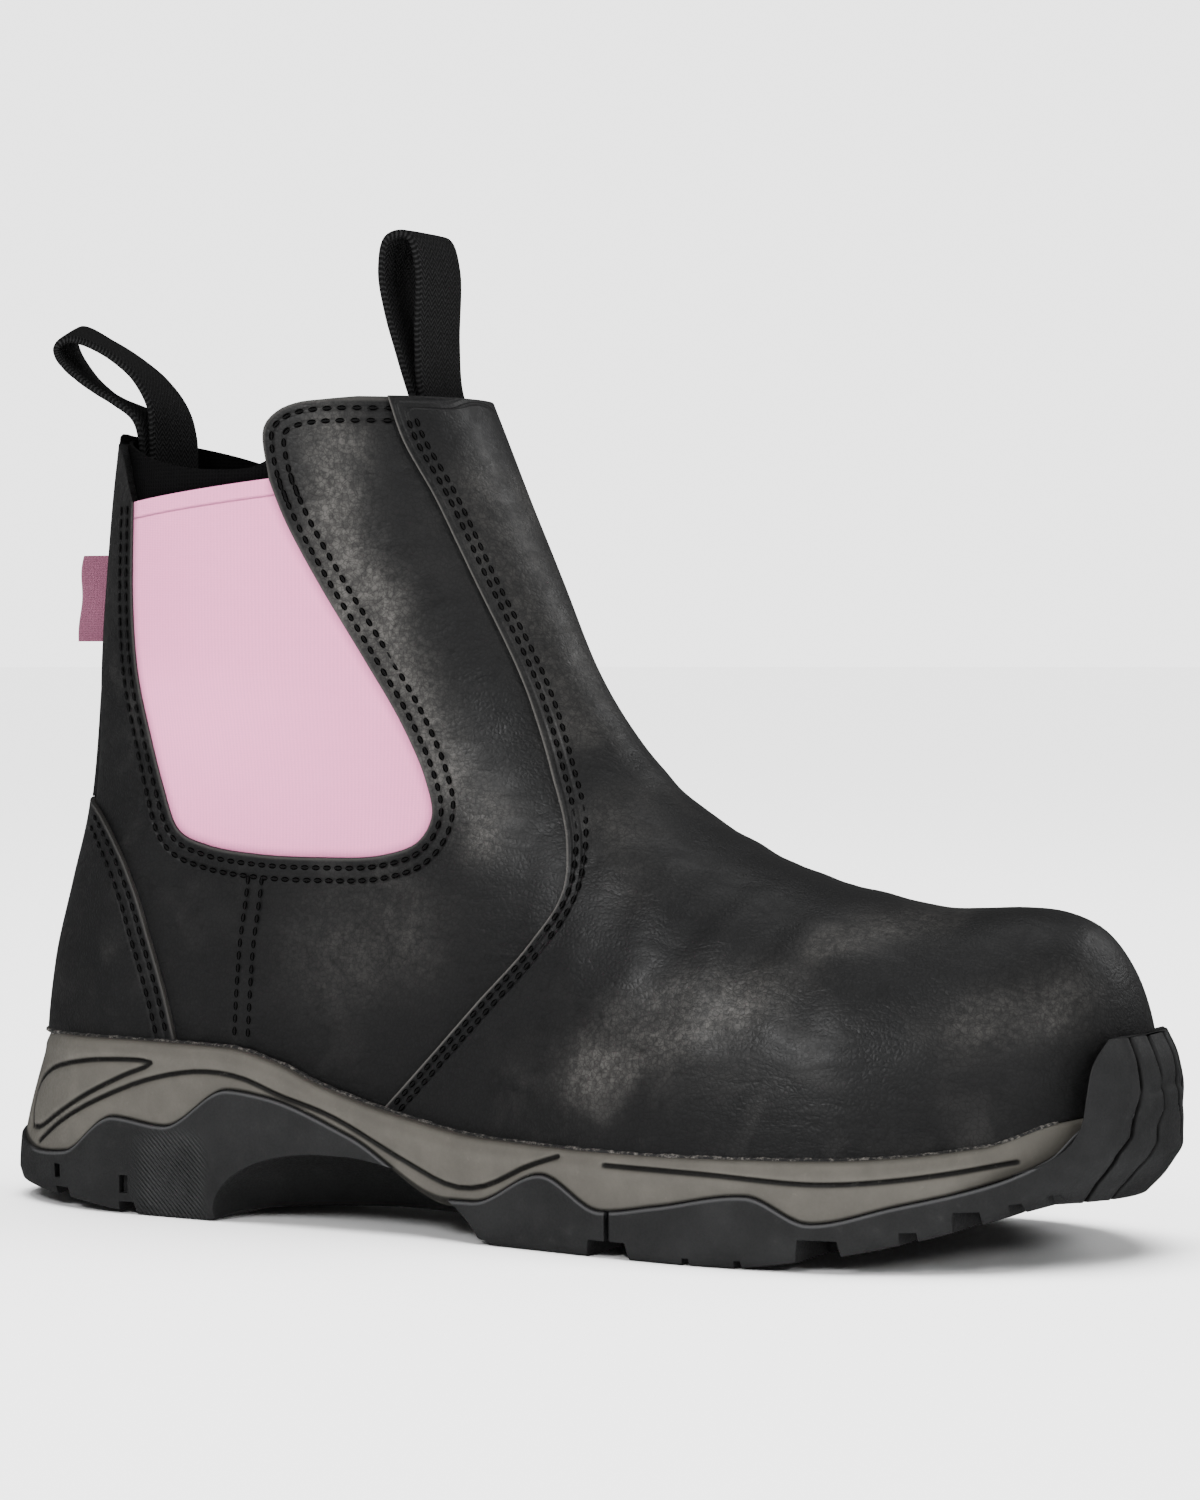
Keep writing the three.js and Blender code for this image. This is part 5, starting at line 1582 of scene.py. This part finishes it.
def hole_shade_mesh(rows, pitch, half_width):
    """Dark discs of painted shade over the leather, one in the dent under each stitch."""
    points, faces = [], []
    around = 10
    for line, side, lift in rows:
        count = max(int(line_length(line) / pitch), 1)
        line = even_line(line, 2 * count + 1)
        at, normal = surface_point(line[:, 0], line[:, 1], side, lift)
        run = np.gradient(at, axis=0)
        for centre, up, along in zip(at[1::2], normal[1::2], run[1::2]):
            if not np.isfinite(centre).all() or abs(up[1]) < 0.2:
                continue
            if not 0.1 * pitch < np.linalg.norm(along) < pitch:
                continue
            first = along / np.linalg.norm(along) * (0.36 * pitch / half_width)
            second = np.cross(up, along / np.linalg.norm(along))
            base = len(points)
            for k in range(around):
                turn = 2 * math.pi * k / around
                points.append(centre + (first * math.cos(turn) + second * math.sin(turn)) * half_width)
            faces.append([base + k for k in range(around)][::-1])
    return np.array(points), faces


class BOOT_OT_stitches(bpy.types.Operator):
    """Sew the rows of stitches"""

    bl_idname = "boot.stitches"
    bl_label = "Stitches"

    def execute(self, context):
        settings = context.scene.boot_leather
        first, second = settings.first_row, settings.second_row
        vamp = cut_at_rim(VAMP_LINE, 2.5)[6:]
        counter = cut_at_rim(COUNTER_LINE, 2.5)[14:]
        seam = SIDE_SEAM_LINE[SIDE_SEAM_LINE[:, 1] > rim_at(SIDE_SEAM_LINE[:, 0]) + 2]
        wing = wing_line()
        upper_rows, vamp_rows, counter_rows = [], [], []
        spread = vamp_spread(vamp[:, 1])[:, None]
        for side in (NEAR, FAR):
            for distance in (first, second):
                upper_rows.append((shift_line(GORE_LINE, -distance), side, UPPER_STITCH_LIFT))
                upper_rows.append((shift_line(wing, -distance)[6:], side, UPPER_STITCH_LIFT))
                vamp_rows.append((shift_line(vamp, distance * spread), side, VAMP_STITCH_LIFT))
                counter_rows.append((shift_line(counter, 0.6 - distance), side, COUNTER_STITCH_LIFT))
            for distance in (SEAM_GAUGE, -SEAM_GAUGE):
                upper_rows.append((shift_line(seam[5:], distance), side, UPPER_STITCH_LIFT))
        groups = (("upper", upper_rows, "upper_leather"), ("vamp", vamp_rows, "vamp_leather"),
                  ("counter", counter_rows, "counter_leather"))
        thread = thread_surface(settings)
        # dark discs of painted shade in the stitch holes
        hole_shade_surface = Surface("stitch_hole_shade", HOLE_SHADE_TONE, 0.95)
        hole_shade_surface.set(Specular_IOR_Level=0.02)
        hole_shade_surface.bump(hole_shade_surface.noise(0.3, 2), 0.05, 0.5)
        for name, rows, slot in groups:
            points, faces = stitch_mesh(rows, settings.stitch_pitch, THREAD_GIRTH)
            stitches = piece(name + "_stitches", points, faces)
            finish_piece(stitches, thread, crisp=0)
            lifted = [(line, side, lift + 0.1) for line, side, lift in rows]
            points, faces = hole_shade_mesh(lifted, settings.stitch_pitch, DENT_WIDTH)
            hole_shade_discs = piece(name + "_stitch_dents", points, faces)
            finish_piece(hole_shade_discs, hole_shade_surface.material, crisp=0)
        return {"FINISHED"}


class BOOT_OT_glue_line(bpy.types.Operator):
    """Build the rough line of glue between leather and midsole"""

    bl_idname = "boot.glue_line"
    bl_label = "Glue line"

    def execute(self, context):
        rng = np.random.default_rng(4)
        form = Form(260, 60)
        ring = form.face(1.2)
        rows = []
        for k in range(ring.shape[1]):
            column = ring[:, k]
            height = rim_at(column[:, 0])
            i = int(np.argmax(column[:, 2] > height))
            low, high = column[i - 1], column[i]
            share = (rim_at(low[0]) - low[2]) / max(high[2] - low[2], 1e-6)
            rows.append(mix(low, high, np.clip(share, 0, 1)))
        line = np.array(rows)
        line = line[line[:, 0] < 0.945 * SOLE_LENGTH]
        beyond = line[:, 1] > form_middle_y(line[:, 0], line[:, 2])
        near, far = line[~beyond], line[beyond]
        path = even_line(np.vstack([near[::-1], far[::-1]]), 1500)
        up = np.array([0, 0, 1.0])
        across = unit(np.cross(unit(np.gradient(path, axis=0)), up))
        lumps = np.convolve(rng.random(len(path) + 8), np.ones(5) / 5, "same")[4:-4]
        radius = 0.35 + 0.75 * lumps
        rings = []
        for k in range(7):
            turn = 2 * math.pi * k / 7
            rings.append(path + (across * math.cos(turn) + up * math.sin(turn) * 0.8) * radius[:, None])
        bead = loft("glue_line", np.stack(rings, 1))
        made = Surface("rough_glue", GLUE_TONE, 0.8)
        crumbs = made.noise(1.1, 5, 0.7)
        made.colour(made.blend_colour(made.band(crumbs, 0.46, 0.7), GLUE_DARK, GLUE_PALE))
        made.bump(crumbs, 0.5, 0.8)
        finish_piece(bead, made.material, crisp=0)
        return {"FINISHED"}


def add_lamp(name, kind, power):
    """New lamp in the scene."""
    data = bpy.data.lights.new(name, kind)
    data.energy = power
    lamp = bpy.data.objects.new(name, data)
    bpy.context.scene.collection.objects.link(lamp)
    return lamp


class BOOT_OT_stage(bpy.types.Operator):
    """Set up the floor, the soft lights and the camera"""

    bl_idname = "boot.stage"
    bl_label = "Stage"

    def execute(self, context):
        settings = context.scene.boot_stage
        target = Vector(settings.target)
        floor = self.floor(settings)
        self.backdrop(settings)
        for name, where, size, power in LAMPS:
            lamp = add_lamp(name, "AREA", power)
            lamp.data.shape = "DISK"
            lamp.data.size = size
            lamp.location = target + Vector(where)
            lamp.rotation_euler = Vector(where).to_track_quat("Z", "Y").to_euler()
        lit = bpy.data.collections.new("floor_light_receivers")
        lit.objects.link(floor)
        lamp = add_lamp("floor_light", "SUN", settings.floor_light)
        lamp.data.angle = math.radians(50)
        lamp.light_linking.receiver_collection = lit
        self.camera(settings, target)
        return {"FINISHED"}

    def floor(self, settings):
        """Wide pale floor that glossy surfaces don't mirror."""
        turn = np.linspace(0, 2 * np.pi, ROUND, endpoint=False)
        ring = np.stack([np.cos(turn), np.sin(turn), np.zeros(ROUND)], -1)
        points = np.vstack([ring * radius for radius in FLOOR_RADII]) + SOLE_MIDDLE
        faces = [[ROUND + k, ROUND + (k + 1) % ROUND, (k + 1) % ROUND, k] for k in range(ROUND)]
        floor = piece("floor", points, faces + [list(range(ROUND))])
        floor.visible_glossy = False
        pale = Surface("pale_floor", settings.floor_colour, 0.7)
        pale.bump(pale.noise(3, 2), 0.02, 0.1)
        floor.data.materials.append(pale.material)
        return floor

    def backdrop(self, settings):
        """Bright backdrop that gives the boot a softer light than it shows."""
        world = bpy.data.worlds.new("studio")
        world.use_nodes = True
        nodes, links = world.node_tree.nodes, world.node_tree.links
        sky = nodes["Background"]
        sky.inputs["Color"].default_value = (1, 1, 1, 1)
        glow = nodes.new("ShaderNodeMapRange")
        glow.inputs["To Min"].default_value = settings.fill_light
        glow.inputs["To Max"].default_value = settings.backdrop_light
        links.new(nodes.new("ShaderNodeLightPath").outputs["Is Camera Ray"], glow.inputs["Value"])
        links.new(glow.outputs["Result"], sky.inputs["Strength"])
        bpy.context.scene.world = world

    def camera(self, settings, target):
        a, e = math.radians(settings.azimuth), math.radians(settings.elevation)
        back = Vector((math.sin(a) * math.cos(e), -math.cos(a) * math.cos(e), math.sin(e)))
        data = bpy.data.cameras.new("camera")
        data.lens = settings.lens
        data.sensor_width = 36
        data.sensor_fit = "AUTO"
        data.clip_start = 0.05
        data.clip_end = 60
        camera = bpy.data.objects.new("camera", data)
        bpy.context.scene.collection.objects.link(camera)
        camera.location = target + back * settings.distance
        camera.rotation_euler = back.to_track_quat("Z", "Y").to_euler()
        bpy.context.scene.camera = camera


class BOOT_PT_panel(bpy.types.Panel):
    """Lists the boot's pieces and its settings"""

    bl_idname = "BOOT_PT_panel"
    bl_label = "Pull-on work boot"
    bl_space_type = "VIEW_3D"
    bl_region_type = "UI"
    bl_category = "Boot"

    def draw(self, context):
        layout = self.layout
        for operator in OPERATORS:
            layout.operator(operator.bl_idname)
        for name, group in SETTINGS:
            box = layout.box()
            settings = getattr(context.scene, name)
            for field in group.__annotations__:
                box.prop(settings, field)


OPERATORS = (
    BOOT_OT_stage, BOOT_OT_leather, BOOT_OT_gores, BOOT_OT_midsole, BOOT_OT_outsole,
    BOOT_OT_insole, BOOT_OT_loops, BOOT_OT_stitches, BOOT_OT_glue_line,
)
SETTINGS = (
    ("boot_leather", BootLeather), ("boot_trim", BootTrim), ("boot_sole", BootSole),
    ("boot_stage", BootStage),
)


def register():
    for name, group in SETTINGS:
        bpy.utils.register_class(group)
        setattr(bpy.types.Scene, name, bpy.props.PointerProperty(type=group))
    for cls in (*OPERATORS, BOOT_PT_panel):
        bpy.utils.register_class(cls)


def unregister():
    for cls in (BOOT_PT_panel, *reversed(OPERATORS)):
        bpy.utils.unregister_class(cls)
    for name, group in reversed(SETTINGS):
        delattr(bpy.types.Scene, name)
        bpy.utils.unregister_class(group)


def main():
    register()
    bpy.ops.boot.stage()
    bpy.ops.boot.leather()
    bpy.ops.boot.gores()
    bpy.ops.boot.midsole()
    bpy.ops.boot.outsole()
    bpy.ops.boot.insole()
    bpy.ops.boot.loops()
    bpy.ops.boot.stitches()
    bpy.ops.boot.glue_line()


if __name__ == "__main__":
    main()
